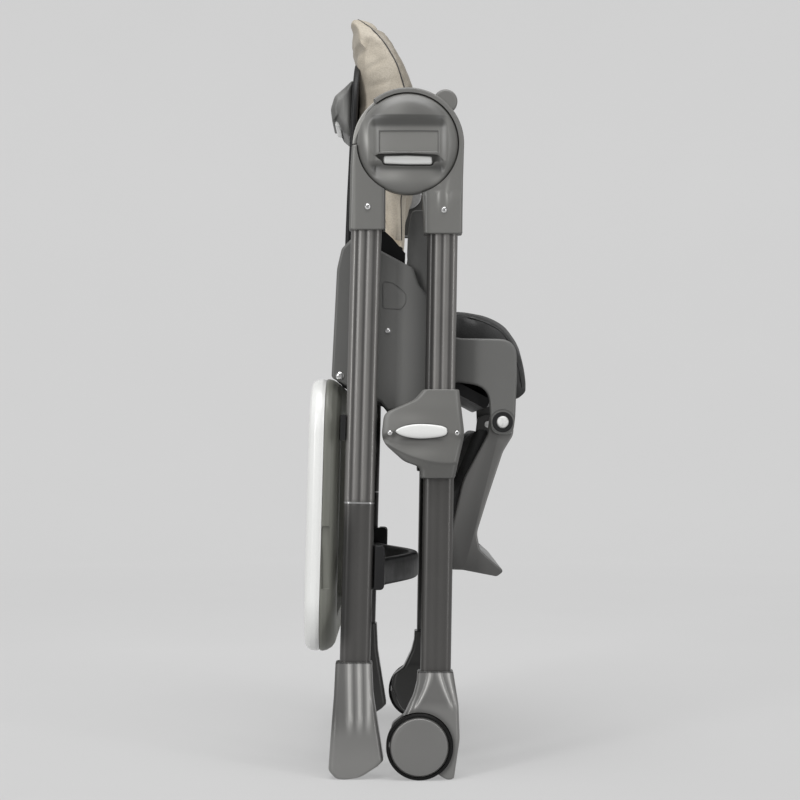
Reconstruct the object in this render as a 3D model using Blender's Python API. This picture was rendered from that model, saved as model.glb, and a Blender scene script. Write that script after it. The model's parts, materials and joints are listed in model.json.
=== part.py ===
"""Folding baby high chair, stored upright with its tray hung behind the rear legs.

+Z is up, +X points to the front of the seat and the child's right-hand side is at -Y.
The origin is at the middle of the footprint, on the floor.
Sizes below are in millimetres.  Every mesh is turned into metres as it is finished.
"""

import math

import bmesh
import bpy
from mathutils import Matrix, Vector

# ---------------------------------------------------------------- driving sizes
MM = 0.001
GAP = 0.35                      # clearance between neighbouring pieces
SIDES = (("right", -1), ("left", 1))

HUB = (-11.0, 799.0)            # fold axis, as (X, Z)
COVER_R = 64.0
DISC_R = 71.0
CORE_R = 16.0
REAR_DISC = (246.0, 256.7)      # distances from the middle plane
FRONT_DISC = (257.1, 268.1)
COVER_DEPTH = (268.5, 290.0)
SLEEVE_DEPTH = (246.0, 278.0)

TUBE_MID = 262.0
TUBE_HALF_W = 19.25
TUBE_HALF_T = 10.0
TUBE_WALL = 1.6
REAR_TOP = (-60.7, 799.0)       # where the rear tube's axis passes the hub's height
REAR_LEAN = math.radians(1.497)
FRONT_TOP = (34.7, 799.0)
FRONT_LEAN = math.radians(0.934)

WHEEL = (3.1, 41.5)
WHEEL_R = 41.5
WHEEL_DEPTH = (264.3, 288.0)
AXLE_R = 4.0

PANEL_DEPTH = (212.0, 228.0)
CARRIAGE_DEPTH = (228.35, 284.0)
BUTTON_Z = 436.0
BUTTON_HALF = 32.5
BUTTON_RISE = 9.2

SEAT_PIVOT = (-98.0, 507.0)     # recline rod
SEAT_TILT = math.radians(28.4)  # the seat slopes down by this much while folded
LEGREST_PIVOT = (110.6, 448.0)
ARM_DEPTH = (200.0, 211.5)
PIN_R = 5.0
ROD_R = 4.0

TRAY_HALF = 255.0
TRAY_Z = (150.0, 503.0)
TRAY_CORNER = 70.0
TRAY_FACE = 26.5                # tray's front face behind the rear tube's axis
TRAY_BASE_T = 20.5
TRAY_INSERT_T = 20.0
PEG_Z = 440.0
PEG_Y = 226.0

CROSSBAR_BOW = 55.0
CROSSBAR_HALF = 237.5


# ---------------------------------------------------------------- small helpers
def clear_scene():
    for obj in list(bpy.data.objects):
        bpy.data.objects.remove(obj, do_unlink=True)


def make_material(name, colour, roughness, metallic=0.0):
    mat = bpy.data.materials.new(name)
    mat.use_nodes = True
    shader = mat.node_tree.nodes["Principled BSDF"]
    shader.inputs["Base Color"].default_value = (*colour, 1.0)
    shader.inputs["Roughness"].default_value = roughness
    shader.inputs["Metallic"].default_value = metallic
    mat.diffuse_color = (*colour, 1.0)
    return mat


def lean_matrix(top, angle):
    """Turn about a leg tube's own top point, which takes upright pieces to the leg's lean."""
    centre = Vector((top[0], 0.0, top[1]))
    return Matrix.Translation(centre) @ Matrix.Rotation(angle, 4, "Y") @ Matrix.Translation(-centre)


REAR_FRAME = lean_matrix(REAR_TOP, REAR_LEAN)
FRONT_FRAME = lean_matrix(FRONT_TOP, FRONT_LEAN)


def finish(name, bm, mat, frame=None, sharp=35.0):
    """Close a bmesh into an object in metres, with smooth shading up to the sharp angle."""
    bmesh.ops.recalc_face_normals(bm, faces=bm.faces)
    if frame is not None:
        bmesh.ops.transform(bm, matrix=frame, verts=bm.verts)
    bmesh.ops.scale(bm, vec=(MM, MM, MM), verts=bm.verts)
    mesh = bpy.data.meshes.new(name)
    bm.to_mesh(mesh)
    bm.free()
    mesh.materials.append(mat)
    mesh.shade_smooth()
    mesh.set_sharp_from_angle(angle=math.radians(sharp))
    obj = bpy.data.objects.new(name, mesh)
    bpy.context.collection.objects.link(obj)
    return obj


def bevelled(obj, width, segments=1, limit=40.0):
    mod = obj.modifiers.new("edge_round", "BEVEL")
    mod.width = width * MM
    mod.segments = segments
    mod.limit_method = "ANGLE"
    mod.angle_limit = math.radians(limit)
    mod.use_clamp_overlap = True
    return obj


def combine(obj, other, operation):
    """Cut with, or join, a helper shape, which stays a wire guide in the file."""
    other.hide_render = True
    other.display_type = "WIRE"
    mod = obj.modifiers.new(other.name, "BOOLEAN")
    mod.operation = operation
    mod.solver = "EXACT"
    mod.object = other
    return obj


def arc(centre, radius, start, stop, steps):
    """Points of an arc in the side view, angles in degrees from +X towards +Z."""
    points = []
    for i in range(steps + 1):
        angle = math.radians(start + (stop - start) * i / steps)
        points.append((centre[0] + radius * math.cos(angle), centre[1] + radius * math.sin(angle)))
    return points


def rounded(corners, step=32.0):
    """Outline through (x, z, radius) corners, each turned into an arc of that radius."""
    outline = []
    count = len(corners)
    for i in range(count):
        here = Vector(corners[i][:2])
        before = Vector(corners[i - 1][:2]) - here
        after = Vector(corners[(i + 1) % count][:2]) - here
        turn = math.pi - before.angle(after)
        reach = min(corners[i][2] * math.tan(turn / 2), 0.48 * before.length, 0.48 * after.length)
        if reach < 0.3 or turn < math.radians(3):
            outline.append(tuple(here))
            continue
        first = here + before.normalized() * reach
        last = here + after.normalized() * reach
        steps = max(1, round(math.degrees(turn) / step))
        for k in range(steps + 1):
            t = k / steps
            outline.append(tuple(first * (1 - t) ** 2 + here * 2 * t * (1 - t) + last * t ** 2))
    return outline


def plate(name, outline, inner, outer, side, mat, frame=None, sharp=35.0):
    """Solid cut to a side-view outline, between two distances from the middle plane."""
    bm = bmesh.new()
    face = bm.faces.new([bm.verts.new((x, side * inner, z)) for x, z in outline])
    extruded = bmesh.ops.extrude_face_region(bm, geom=[face])
    moved = [v for v in extruded["geom"] if isinstance(v, bmesh.types.BMVert)]
    bmesh.ops.translate(bm, verts=moved, vec=(0.0, side * (outer - inner), 0.0))
    return finish(name, bm, mat, frame, sharp)


def turned(name, centre, profile, side, mat, steps=32):
    """Solid of revolution about a line along Y; the profile is (radius, distance) pairs."""
    bm = bmesh.new()
    verts = [bm.verts.new((centre[0] + r, side * d, centre[1])) for r, d in profile]
    edges = [bm.edges.new((a, b)) for a, b in zip(verts, verts[1:] + verts[:1])
             if (a.co - b.co).length > 1e-6 and not on_axis(a, b, centre)]
    middle = Vector((centre[0], 0.0, centre[1]))
    bmesh.ops.spin(bm, geom=verts + edges, cent=middle, axis=(0, 1, 0), angle=math.tau,
                   steps=steps, use_merge=True)
    bmesh.ops.remove_doubles(bm, verts=bm.verts, dist=0.02)
    bmesh.ops.delete(bm, geom=[edge for edge in bm.edges if not edge.link_faces], context="EDGES")
    return finish(name, bm, mat)


def on_axis(a, b, centre):
    return abs(a.co.x - centre[0]) < 1e-6 and abs(b.co.x - centre[0]) < 1e-6


def cylinder(name, centre, radius, inner, outer, side, mat, steps=24):
    profile = [(0.0, inner), (radius, inner), (radius, outer), (0.0, outer)]
    return turned(name, centre, profile, side, mat, steps)


def loft(name, rings, mat, frame=None):
    """Skin through closed rings of equal point counts, capped at both ends."""
    bm = bmesh.new()
    loops = []
    for ring in rings:
        verts = [bm.verts.new(p) for p in ring]
        loops.append((verts, [bm.edges.new((a, b)) for a, b in zip(verts, verts[1:] + verts[:1])]))
    for (_, low), (_, high) in zip(loops, loops[1:]):
        bmesh.ops.bridge_loops(bm, edges=low + high)
    bm.faces.new(loops[0][0])
    bm.faces.new(loops[-1][0])
    return finish(name, bm, mat, frame)


def oval(half_w, half_t, count=24, power=2.6):
    """Flattened tube section as (x, y) points of a superellipse."""
    points = []
    for i in range(count):
        angle = math.tau * i / count
        c, s = math.cos(angle), math.sin(angle)
        x = half_w * math.copysign(abs(c) ** (2 / power), c)
        y = half_t * math.copysign(abs(s) ** (2 / power), s)
        points.append((x, y))
    return points


def oval_bar(name, axis_x, side, half_w, half_t, low, high, mat, frame):
    section = oval(half_w, half_t)
    rings = [[(axis_x + x, side * TUBE_MID + y, z) for x, y in section] for z in (low, high)]
    return loft(name, rings, mat, frame)


def oval_tube(name, axis_x, side, low, high, mat, frame):
    """Leg tube: an oval ring drawn out along the leg and open at both ends."""
    bm = bmesh.new()
    rim = []
    for shrink in (0.0, TUBE_WALL):
        section = oval(TUBE_HALF_W - shrink, TUBE_HALF_T - shrink)
        verts = [bm.verts.new((axis_x + x, side * TUBE_MID + y, low)) for x, y in section]
        rim += [bm.edges.new((a, b)) for a, b in zip(verts, verts[1:] + verts[:1])]
    bmesh.ops.bridge_loops(bm, edges=rim)
    extruded = bmesh.ops.extrude_face_region(bm, geom=list(bm.faces))
    moved = [v for v in extruded["geom"] if isinstance(v, bmesh.types.BMVert)]
    bmesh.ops.translate(bm, verts=moved, vec=(0.0, 0.0, high - low))
    return finish(name, bm, mat, frame)


def screw(name, centre, surface, side, mat):
    """Pan-head screw whose shank stands in a drilled hole."""
    head = surface + GAP
    profile = [(0.0, surface - 5.0), (1.8, surface - 5.0), (1.8, head), (3.9, head), (3.9, head + 0.9),
               (2.8, head + 2.0), (1.2, head + 2.5), (0.0, head + 2.5)]
    return turned(name, centre, profile, side, mat, steps=12)


def screw_hole(owner, centre, surface, side, mat):
    hole = cylinder(f"cut_screw_{owner.name}", centre, 2.2, surface - 5.6, surface + 3, side, mat, steps=16)
    return combine(owner, hole, "DIFFERENCE")


def seat_point(u, v):
    """Side-view point from u forward and v up in the opened, level seat."""
    c, s = math.cos(SEAT_TILT), math.sin(SEAT_TILT)
    return (SEAT_PIVOT[0] + c * u + s * v, SEAT_PIVOT[1] - s * u + c * v)


def seat_outline(corners):
    return rounded([(*seat_point(u, v), r) for u, v, r in corners])


def socket(owner, axis_x, side, low, high, frame, clearance, mat):
    cutter = oval_bar(f"cut_{owner.name}_socket", axis_x, side, TUBE_HALF_W + clearance,
                      TUBE_HALF_T + clearance, low, high, mat, frame)
    return combine(owner, cutter, "DIFFERENCE")


# ---------------------------------------------------------------- hub
def hub_cover(word, side, mats):
    """Domed shell over the fold joint, with a mouth for the release lever and a label recess."""
    low, high = COVER_DEPTH
    r = COVER_R
    profile = [(r, low), (r, low + 7), (r - 5, low + 14), (r - 19, low + 19), (0, high), (0, high - 3.2),
               (r - 19, high - 6.2), (r - 8, high - 11), (r - 3.4, low)]
    cover = turned(f"hub_cover_{word}", HUB, profile, side, mats["shell"], steps=36)
    mouth = rounded([(HUB[0] - 47, 777, 10), (HUB[0] - 35, 789, 12), (HUB[0] + 35, 789, 12),
                     (HUB[0] + 47, 777, 10), (HUB[0] + 28, 764, 40), (HUB[0] - 28, 764, 40)])
    cutter = plate(f"cut_mouth_{word}", mouth, low + 5, high + 4, side, mats["shell"])
    combine(cover, cutter, "DIFFERENCE")
    label = rounded([(HUB[0] - 36, 813, 4), (HUB[0] + 36, 813, 4),
                     (HUB[0] + 36, 792, 4), (HUB[0] - 36, 792, 4)])
    recess = plate(f"cut_label_{word}", label, high - 1.6, high + 4, side, mats["shell"])
    return combine(cover, recess, "DIFFERENCE")


def hub_core(word, side, mats):
    """Pivot bush that both leg discs turn on, with its retaining flange inboard."""
    flange = REAR_DISC[0] - GAP
    profile = [(0, 241), (8, 241), (8, 243), (23, 243), (23, flange), (CORE_R, flange),
               (CORE_R, FRONT_DISC[1]), (0, FRONT_DISC[1])]
    return turned(f"hub_core_{word}", HUB, profile, side, mats["steel"], steps=28)


def release_lever(word, side, mats):
    """White finger bar in the mouth of the cover."""
    outline = rounded([(HUB[0] - 31, 782.5, 3), (HUB[0] + 31, 781.5, 3), (HUB[0] + 31.5, 771, 3),
                       (HUB[0], 770.5, 60), (HUB[0] - 31.5, 771.5, 3)])
    inner, outer = COVER_DEPTH[0] + 4, COVER_DEPTH[1] - 0.6
    lever = plate(f"release_lever_{word}", outline, inner, outer, side, mats["white"])
    return bevelled(lever, 2.0)


# ---------------------------------------------------------------- front leg
def front_sleeve(word, side, mats):
    """Upper leg casting: outer disc of the fold joint, rim band, ear and tube socket."""
    rim = [(11, 689), (56, 689), (57.5, 730)]
    rim += arc(HUB, DISC_R, 0, 128, 14)
    rim += arc(HUB, COVER_R - 2.5, 130, 283, 12)
    body = plate(f"front_sleeve_{word}", rim, FRONT_DISC[0], 276.5, side, mats["shell"])
    bevelled(body, 1.6, 1)
    ear = cylinder(f"join_ear_{word}", (36.5, 853.0), 15.2, 262.0, 274.0, side, mats["shell"], steps=24)
    bevelled(ear, 3.0)
    combine(body, ear, "UNION")
    lower = [(9, 685), (57.75, 685)] + arc(HUB, DISC_R + 1.3, -17.5, -73, 6)
    block = plate(f"join_front_block_{word}", lower, SLEEVE_DEPTH[0], SLEEVE_DEPTH[1], side, mats["shell"])
    bevelled(block, 3.0)
    combine(body, block, "UNION")
    room = cylinder(f"cut_front_cover_{word}", HUB, COVER_R + 0.6, FRONT_DISC[1], 284.0, side,
                    mats["shell"], 36)
    combine(body, room, "DIFFERENCE")
    bore = cylinder(f"cut_front_bore_{word}", HUB, CORE_R + GAP, 250.0, 272.0, side, mats["shell"], 24)
    combine(body, bore, "DIFFERENCE")
    socket(body, FRONT_TOP[0], side, 670, 716, FRONT_FRAME, GAP, mats["shell"])
    return screw_hole(body, (34.4, 714.75), SLEEVE_DEPTH[1], side, mats["shell"])


def front_leg(word, side, mats):
    front_sleeve(word, side, mats)
    oval_tube(f"front_tube_{word}", FRONT_TOP[0], side, 112, 706, mats["tube"], FRONT_FRAME)
    screw(f"front_sleeve_screw_{word}", (34.4, 714.75), SLEEVE_DEPTH[1], side, mats["chrome"])
    wheel_housing(word, side, mats)
    profile = [(0, 248), (AXLE_R, 248), (AXLE_R, 279), (0, 279)]
    turned(f"wheel_axle_{word}", WHEEL, profile, side, mats["steel"], steps=20)


def wheel_housing(word, side, mats):
    outline = rounded([(1, 134.6, 2), (45.8, 134.6, 2), (52.6, 92, 70), (54, 50, 60), (46.5, 0, 4),
                       (36, 0, 2), (22, 9, 10), (-18, 12, 20), (-34, 50, 12), (-30, 74, 4), (-7, 102, 30)])
    body = plate(f"wheel_housing_{word}", outline, 244.0, 280.0, side, mats["casting"])
    bevelled(body, 2.0)
    pocket = cylinder(f"cut_wheel_pocket_{word}", WHEEL, WHEEL_R + 1.0, 263.5, 292.0, side,
                      mats["casting"], 40)
    combine(body, pocket, "DIFFERENCE")
    hole = cylinder(f"cut_axle_hole_{word}", WHEEL, AXLE_R + GAP, 247.5, 266.0, side, mats["casting"], 16)
    combine(body, hole, "DIFFERENCE")
    return socket(body, FRONT_TOP[0], side, 111, 140, FRONT_FRAME, GAP, mats["casting"])


def wheel(word, side, mats):
    """Tyre ring and the hub cap that it is pressed on."""
    near, far = WHEEL_DEPTH
    ring = [(WHEEL_R - 3.6, near), (WHEEL_R - 1.4, near), (WHEEL_R, near + 3), (WHEEL_R, far - 4),
            (WHEEL_R - 1.5, far - 1), (WHEEL_R - 3.6, far)]
    turned(f"tyre_{word}", WHEEL, ring, side, mats["tyre"], steps=32)
    cap = [(AXLE_R + GAP, near), (WHEEL_R - 4.0, near), (WHEEL_R - 4.0, far - 1), (WHEEL_R - 6.5, far + 0.8),
           (0, far + 1.6), (0, 279 + GAP), (AXLE_R + GAP, 279 + GAP)]
    turned(f"wheel_cap_{word}", WHEEL, cap, side, mats["casting"], steps=28)


def front_crossbar(mats):
    centre = (24.7, 190.0)
    bar = cylinder("front_crossbar", centre, 13.0, -251.6, 251.6, 1, mats["tube"], 28)
    return bar


# ---------------------------------------------------------------- rear leg
def rear_sleeve(word, side, mats):
    """Rear leg casting: inner disc of the fold joint, tube socket and outer wall."""
    outline = [(-85, 690), (-39.5, 690), (-39.5, 748), (-62, 796), (-82, 796), (-83.4, 770)]
    body = plate(f"rear_sleeve_{word}", outline, SLEEVE_DEPTH[0] + 0.3, SLEEVE_DEPTH[1], side, mats["shell"])
    bevelled(body, 2.6)
    disc = cylinder(f"join_rear_disc_{word}", HUB, DISC_R, REAR_DISC[0], REAR_DISC[1], side,
                    mats["shell"], 36)
    combine(body, disc, "UNION")
    clear = cylinder(f"cut_rear_front_disc_{word}", HUB, COVER_R + 0.7, REAR_DISC[1] + 0.1, 284,
                     side, mats["shell"], 36)
    combine(body, clear, "DIFFERENCE")
    bore = cylinder(f"cut_rear_bore_{word}", HUB, CORE_R + GAP, 240.0, 262.0, side, mats["shell"], 24)
    combine(body, bore, "DIFFERENCE")
    socket(body, REAR_TOP[0], side, 670, 716, REAR_FRAME, GAP, mats["shell"])
    return screw_hole(body, (-61.75, 719), SLEEVE_DEPTH[1], side, mats["shell"])


def rear_foot(word, side, mats):
    outline = rounded([(-102, 150, 2), (-56.5, 150, 2), (-52.8, 100, 70), (-41.8, 23, 4), (-49, 16, 6),
                       (-70, 2.5, 50), (-84, 0, 6), (-101, 0, 6), (-111, 11, 9), (-108.5, 48, 60),
                       (-104, 105, 80)])
    body = plate(f"rear_foot_{word}", outline, 244.0, 280.0, side, mats["casting"])
    bevelled(body, 3.5)
    return socket(body, REAR_TOP[0], side, 126, 160, REAR_FRAME, GAP, mats["casting"])


def crossbar_bracket(word, side, mats):
    """Saddle that carries the rear crossbar on the inside and front of the leg."""
    cheek = rounded([(-84, 240, 8), (-42, 235, 9), (-39.5, 293, 9), (-82, 288, 8)])
    body = plate(f"crossbar_bracket_{word}", cheek, 238.0, 251.4, side, mats["dark"])
    bevelled(body, 1.5)
    lip = rounded([(-54, 236, 2), (-41, 236, 8), (-39.8, 292, 8), (-52.6, 292, 2)])
    front = plate(f"join_bracket_lip_{word}", lip, 250.0, 270.0, side, mats["dark"])
    return combine(body, front, "UNION")


def tray_peg(word, side, mats):
    """Pad behind the leg tube with the peg that the stored tray hangs on."""
    axis = REAR_TOP[0]
    pad = rounded([(axis - TUBE_HALF_W - GAP, PEG_Z - 16, 1), (axis - TRAY_FACE + GAP, PEG_Z - 16, 1),
                   (axis - TRAY_FACE + GAP, PEG_Z + 16, 1), (axis - TUBE_HALF_W - GAP, PEG_Z + 16, 1)])
    body = plate(f"tray_peg_{word}", pad, PEG_Y - 9, 270.0, side, mats["dark"], REAR_FRAME)
    rings = []
    for x in (axis - TRAY_FACE + 2.0, axis - TRAY_FACE - 11.0):
        rings.append([(x, y, z) for y, z in arc((side * PEG_Y, PEG_Z), 5.0, 0, 360, 14)[:-1]])
    pin = loft(f"join_tray_pin_{word}", rings, mats["dark"], REAR_FRAME)
    return combine(body, pin, "UNION")


def rear_leg(word, side, mats):
    rear_sleeve(word, side, mats)
    oval_tube(f"rear_tube_{word}", REAR_TOP[0], side, 127, 706, mats["tube"], REAR_FRAME)
    screw(f"rear_sleeve_screw_{word}", (-61.75, 719), SLEEVE_DEPTH[1], side, mats["chrome"])
    rear_foot(word, side, mats)
    crossbar_bracket(word, side, mats)
    tray_peg(word, side, mats)


def rear_crossbar(mats):
    """Flat bar bowed forward between the rear legs: x = end + bow * cos^2 of the span."""
    section = [(x * 0.5, z) for z, x in oval(17.5, 16.0, count=12, power=3.2)]
    rings = []
    steps = 16
    for i in range(steps + 1):
        y = -CROSSBAR_HALF + 2 * CROSSBAR_HALF * i / steps
        x = -58 + CROSSBAR_BOW * math.cos(math.pi * y / (2 * 250.0)) ** 2
        rings.append([(x + a, y, 252.5 + b) for a, b in section])
    return loft("rear_crossbar", rings, mats["dark"])


# ---------------------------------------------------------------- seat
def carriage(word, side, mats):
    """Sliding block that carries the seat up and down the front leg."""
    outline = rounded([(53.3, 488.6, 2), (8.1, 488.6, 3), (-4, 475, 26), (-41, 459, 14), (-45, 424, 26),
                       (-16, 398, 30), (4, 391, 12), (4.6, 377, 2), (47.6, 377, 2), (60.2, 432, 50)])
    body = plate(f"carriage_{word}", outline, CARRIAGE_DEPTH[0], CARRIAGE_DEPTH[1], side, mats["shell"])
    bevelled(body, 3.5)
    socket(body, FRONT_TOP[0], side, 360, 510, FRONT_FRAME, 0.5, mats["shell"])
    pocket = plate(f"cut_button_pocket_{word}", lens(0.6), 273.8, 290.0, side, mats["shell"])
    return combine(body, pocket, "DIFFERENCE")


def lens(grow=0.0):
    """Height button outline: two shallow arcs that meet in rounded tips."""
    half, rise = BUTTON_HALF + grow, BUTTON_RISE + grow
    points = []
    for i in range(20):
        angle = math.tau * i / 20
        c, s = math.cos(angle), math.sin(angle)
        points.append((5.9 + half * c, BUTTON_Z + rise * math.copysign(abs(s) ** 1.25, s)))
    return points


def height_button(word, side, mats):
    button = plate(f"height_button_{word}", lens(), 279.3, 286.0, side, mats["white"])
    return bevelled(button, 1.8)


def seat_side(word, side, mats):
    """Side panel of the seat, from the recline rod to the legrest pivot."""
    outline = rounded([(-92, 679, 16), (-45, 668, 30), (-4, 646, 9), (3, 624, 18), (22, 600, 40),
                       (44, 556, 26), (129, 554.4, 26), (129, 505, 60), (127, 455, 40), (124, 431.5, 17),
                       (95.5, 432, 15),
                       (93.5, 493, 36), (48, 500, 10), (36, 470, 14), (-37, 462, 5), (-46, 474, 8),
                       (-92, 496, 8), (-109, 505, 6)])
    body = plate(f"seat_side_{word}", outline, PANEL_DEPTH[0], PANEL_DEPTH[1], side, mats["panel"])
    bevelled(body, 3.0)
    for tag, centre, radius in (("rod", SEAT_PIVOT, ROD_R), ("pin", LEGREST_PIVOT, PIN_R)):
        hole = cylinder(f"cut_{tag}_{word}", centre, radius + GAP, 205.0, 235.0, side, mats["panel"], 16)
        combine(body, hole, "DIFFERENCE")
    return body


def seat_pan(mats):
    outline = seat_outline([(30, 52, 3), (30, 66, 3), (184, 66, 3), (186, 52, 5)])
    return plate("seat_pan", outline, -211.6, 211.6, 1, mats["dark"])


def seat_cushion(mats):
    """Padded seat with raised sides and a front lip that rolls over the pan."""
    slab = seat_outline([(26, 66.5, 6), (26, 96, 8), (70, 96, 60), (150, 104, 60), (205, 110, 20),
                         (222, 98, 6), (219, 80, 5), (196, 66.5, 8)])
    body = plate("seat_cushion", slab, -196.0, 196.0, 1, mats["charcoal"])
    wing = seat_outline([(28, 90, 5), (30, 112, 20), (80, 142, 60), (122, 157, 40), (150, 159, 40),
                         (184, 141, 40), (216, 103, 30), (222, 96, 4), (214, 76, 4), (150, 80, 30)])
    for word, side in SIDES:
        bolster = plate(f"join_bolster_{word}", wing, 160.0, 205.0, side, mats["charcoal"])
        combine(body, bolster, "UNION")
    return body


def recline_rack(word, side, mats):
    """Toothed plate inside the panel that the backrest latch steps along."""
    teeth = []
    for i in range(6):
        x = -62 + 8.0 * i
        top = 706 - 6.0 * i
        teeth += [(x, top), (x + 4.5, top - 2.0), (x + 4.5, top - 8.0), (x + 8.0, top - 8.5)]
    outline = teeth + [(-15, 640), (-22, 608), (-62, 608)]
    return plate(f"recline_rack_{word}", outline, 198.0, 208.0, side, mats["dark"])


def recline_rod(mats):
    rod = cylinder("recline_rod", SEAT_PIVOT, ROD_R, -222.0, 222.0, 1, mats["steel"], 24)
    return rod


def legrest_pin(word, side, mats):
    """Rivet through the seat panel and the legrest arm, with a domed outer head."""
    head = PANEL_DEPTH[1] + GAP
    profile = [(0, 199.6), (PIN_R, 199.6), (PIN_R, head), (9.6, head), (9.6, head + 0.8), (7.4, head + 1.0),
               (6.4, head + 2.4), (3.2, head + 3.2), (0, head + 3.4)]
    return turned(f"legrest_pin_{word}", LEGREST_PIVOT, profile, side, mats["chrome"], steps=20)


def seat(mats):
    for word, side in SIDES:
        carriage(word, side, mats)
        seat_side(word, side, mats)
        recline_rack(word, side, mats)
        legrest_pin(word, side, mats)
        rod_screw(word, side, mats)
    seat_pan(mats)
    seat_cushion(mats)
    recline_rod(mats)


def rod_screw(word, side, mats):
    """Dome-headed screw that closes the end of the recline rod."""
    head = PANEL_DEPTH[1] + GAP
    profile = [(0, 222.6), (2.6, 222.6), (2.6, head), (5.2, head), (5.2, head + 0.9), (3.4, head + 2.3),
               (0, head + 2.9)]
    turned(f"recline_rod_screw_{word}", SEAT_PIVOT, profile, side, mats["chrome"], steps=20)


# ---------------------------------------------------------------- backrest
def keep_rounded_top(body, half, low, high, corner, mat):
    """Keep only what lies inside a front-view outline whose two upper corners are round."""
    outline = [(half, low)] + arc((half - corner, high - corner), corner, 0, 90, 7)
    outline += arc((corner - half, high - corner), corner, 90, 180, 7) + [(-half, low)]
    rings = [[(x, y, z) for y, z in outline] for x in (-160.0, 80.0)]
    return combine(body, loft(f"keep_{body.name}", rings, mat), "INTERSECT")


def backrest_shell(mats):
    """Moulded back panel with the barrel that turns on the recline rod."""
    outline = rounded([(-81, 930, 4), (-83, 900, 80), (-91, 740, 200), (-94, 660, 200), (-101, 516, 6),
                       (-93, 512, 4), (-86, 660, 200), (-83, 740, 200), (-75, 900, 80), (-73, 930, 4)])
    body = plate("backrest_shell", outline, -175.0, 175.0, 1, mats["dark"])
    keep_rounded_top(body, 171.0, 400.0, 931.0, 70.0, mats["dark"])
    barrel = cylinder("join_barrel", SEAT_PIVOT, 7.5, -172.0, 172.0, 1, mats["dark"], 24)
    combine(body, barrel, "UNION")
    bore = cylinder("cut_barrel_bore", SEAT_PIVOT, ROD_R + GAP, -180.0, 180.0, 1, mats["dark"], 24)
    return combine(body, bore, "DIFFERENCE")


def back_cushion(mats):
    """Padded back with deep side wings."""
    slab = rounded([(-89, 978, 8), (-87, 934, 3), (-71.5, 934, 3), (-81, 740, 90), (-84, 660, 90),
                    (-91, 545, 6), (-64, 545, 10), (-56, 660, 90), (-53, 740, 90), (-45, 900, 90),
                    (-50, 965, 40), (-68, 990, 10)])
    body = plate("back_cushion", slab, -168.0, 168.0, 1, mats["beige"])
    wing = rounded([(-70, 989, 8), (-86, 978, 6), (-80, 940, 10), (-62, 925, 30), (-64, 800, 60),
                    (-55, 745, 20), (-38, 700, 14), (-17, 681, 5), (-11, 745, 60), (0, 785, 60),
                    (5, 850, 60), (-8, 905, 60), (-36, 960, 50)])
    for word, side in SIDES:
        pad = plate(f"join_wing_{word}", wing, 136.0, 167.9, side, mats["beige"])
        combine(body, pad, "UNION")
    return keep_rounded_top(body, 167.5, 500.0, 991.0, 85.0, mats["beige"])


def recline_handle(mats):
    """Hood on the back of the shell, open underneath for the fingers."""
    outline = rounded([(-84.6, 932, 3), (-96, 930, 14), (-118, 905, 16), (-117, 873, 6), (-92, 873, 3),
                       (-86.6, 880, 3)])
    body = plate("recline_handle", outline, -62.0, 62.0, 1, mats["dark"])
    bevelled(body, 4.0)
    hollow = rounded([(-96, 914, 6), (-110, 902, 8), (-111, 860, 3), (-94, 860, 3)])
    cutter = plate("cut_handle_hollow", hollow, -54.0, 54.0, 1, mats["dark"])
    return combine(body, cutter, "DIFFERENCE")


def recline_trigger(mats):
    outline = rounded([(-103, 884, 2), (-109, 884, 2), (-110, 856, 5), (-101, 852, 4)])
    trigger = plate("recline_trigger", outline, -50.0, 50.0, 1, mats["white"])
    return bevelled(trigger, 1.5)


# ---------------------------------------------------------------- legrest
def legrest(mats):
    arm = rounded([(95.5, 463, 15), (125.7, 463, 15), (125.5, 432, 20), (112, 410, 40), (91, 347, 60),
                   (78, 305, 25), (82, 284, 14), (99, 268, 20), (113, 256, 4), (104, 249, 6),
                   (60, 257.5, 20), (42, 258, 6), (45, 310, 60), (60, 373, 80), (92, 432, 20)])
    for word, side in SIDES:
        body = plate(f"legrest_arm_{word}", arm, ARM_DEPTH[0], ARM_DEPTH[1], side, mats["casting"])
        bevelled(body, 2.0)
        hole = cylinder(f"cut_arm_{word}", LEGREST_PIVOT, PIN_R + GAP, 195, 215, side, mats["casting"], 16)
        combine(body, hole, "DIFFERENCE")
    board = rounded([(42, 258, 4), (41, 272, 4), (80, 273, 8), (99, 268, 20), (113, 256, 3), (104, 249, 5),
                     (60, 257.5, 20)])
    footrest = plate("footrest", board, -199.6, 199.6, 1, mats["casting"])
    bevelled(footrest, 1.5)
    pad = rounded([(70, 440, 8), (94, 436, 8), (70, 365, 40), (64, 282, 8), (36, 282, 8), (40, 345, 60)])
    plate("calf_pad", pad, -199.0, 199.0, 1, mats["charcoal"])


# ---------------------------------------------------------------- tray
def tray_ring(x, inset):
    """Rounded rectangle of the tray, shrunk by inset, at a distance behind the leg axis."""
    half = TRAY_HALF - inset
    low, high = TRAY_Z[0] + inset, TRAY_Z[1] - inset
    r = TRAY_CORNER - 0.6 * inset
    points = []
    for cy, cz, start in ((half - r, high - r, 0), (r - half, high - r, 90), (r - half, low + r, 180),
                          (half - r, low + r, 270)):
        points += [(REAR_TOP[0] - x, py, pz) for py, pz in arc((cy, cz), r, start, start + 90, 6)]
    return points


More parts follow.
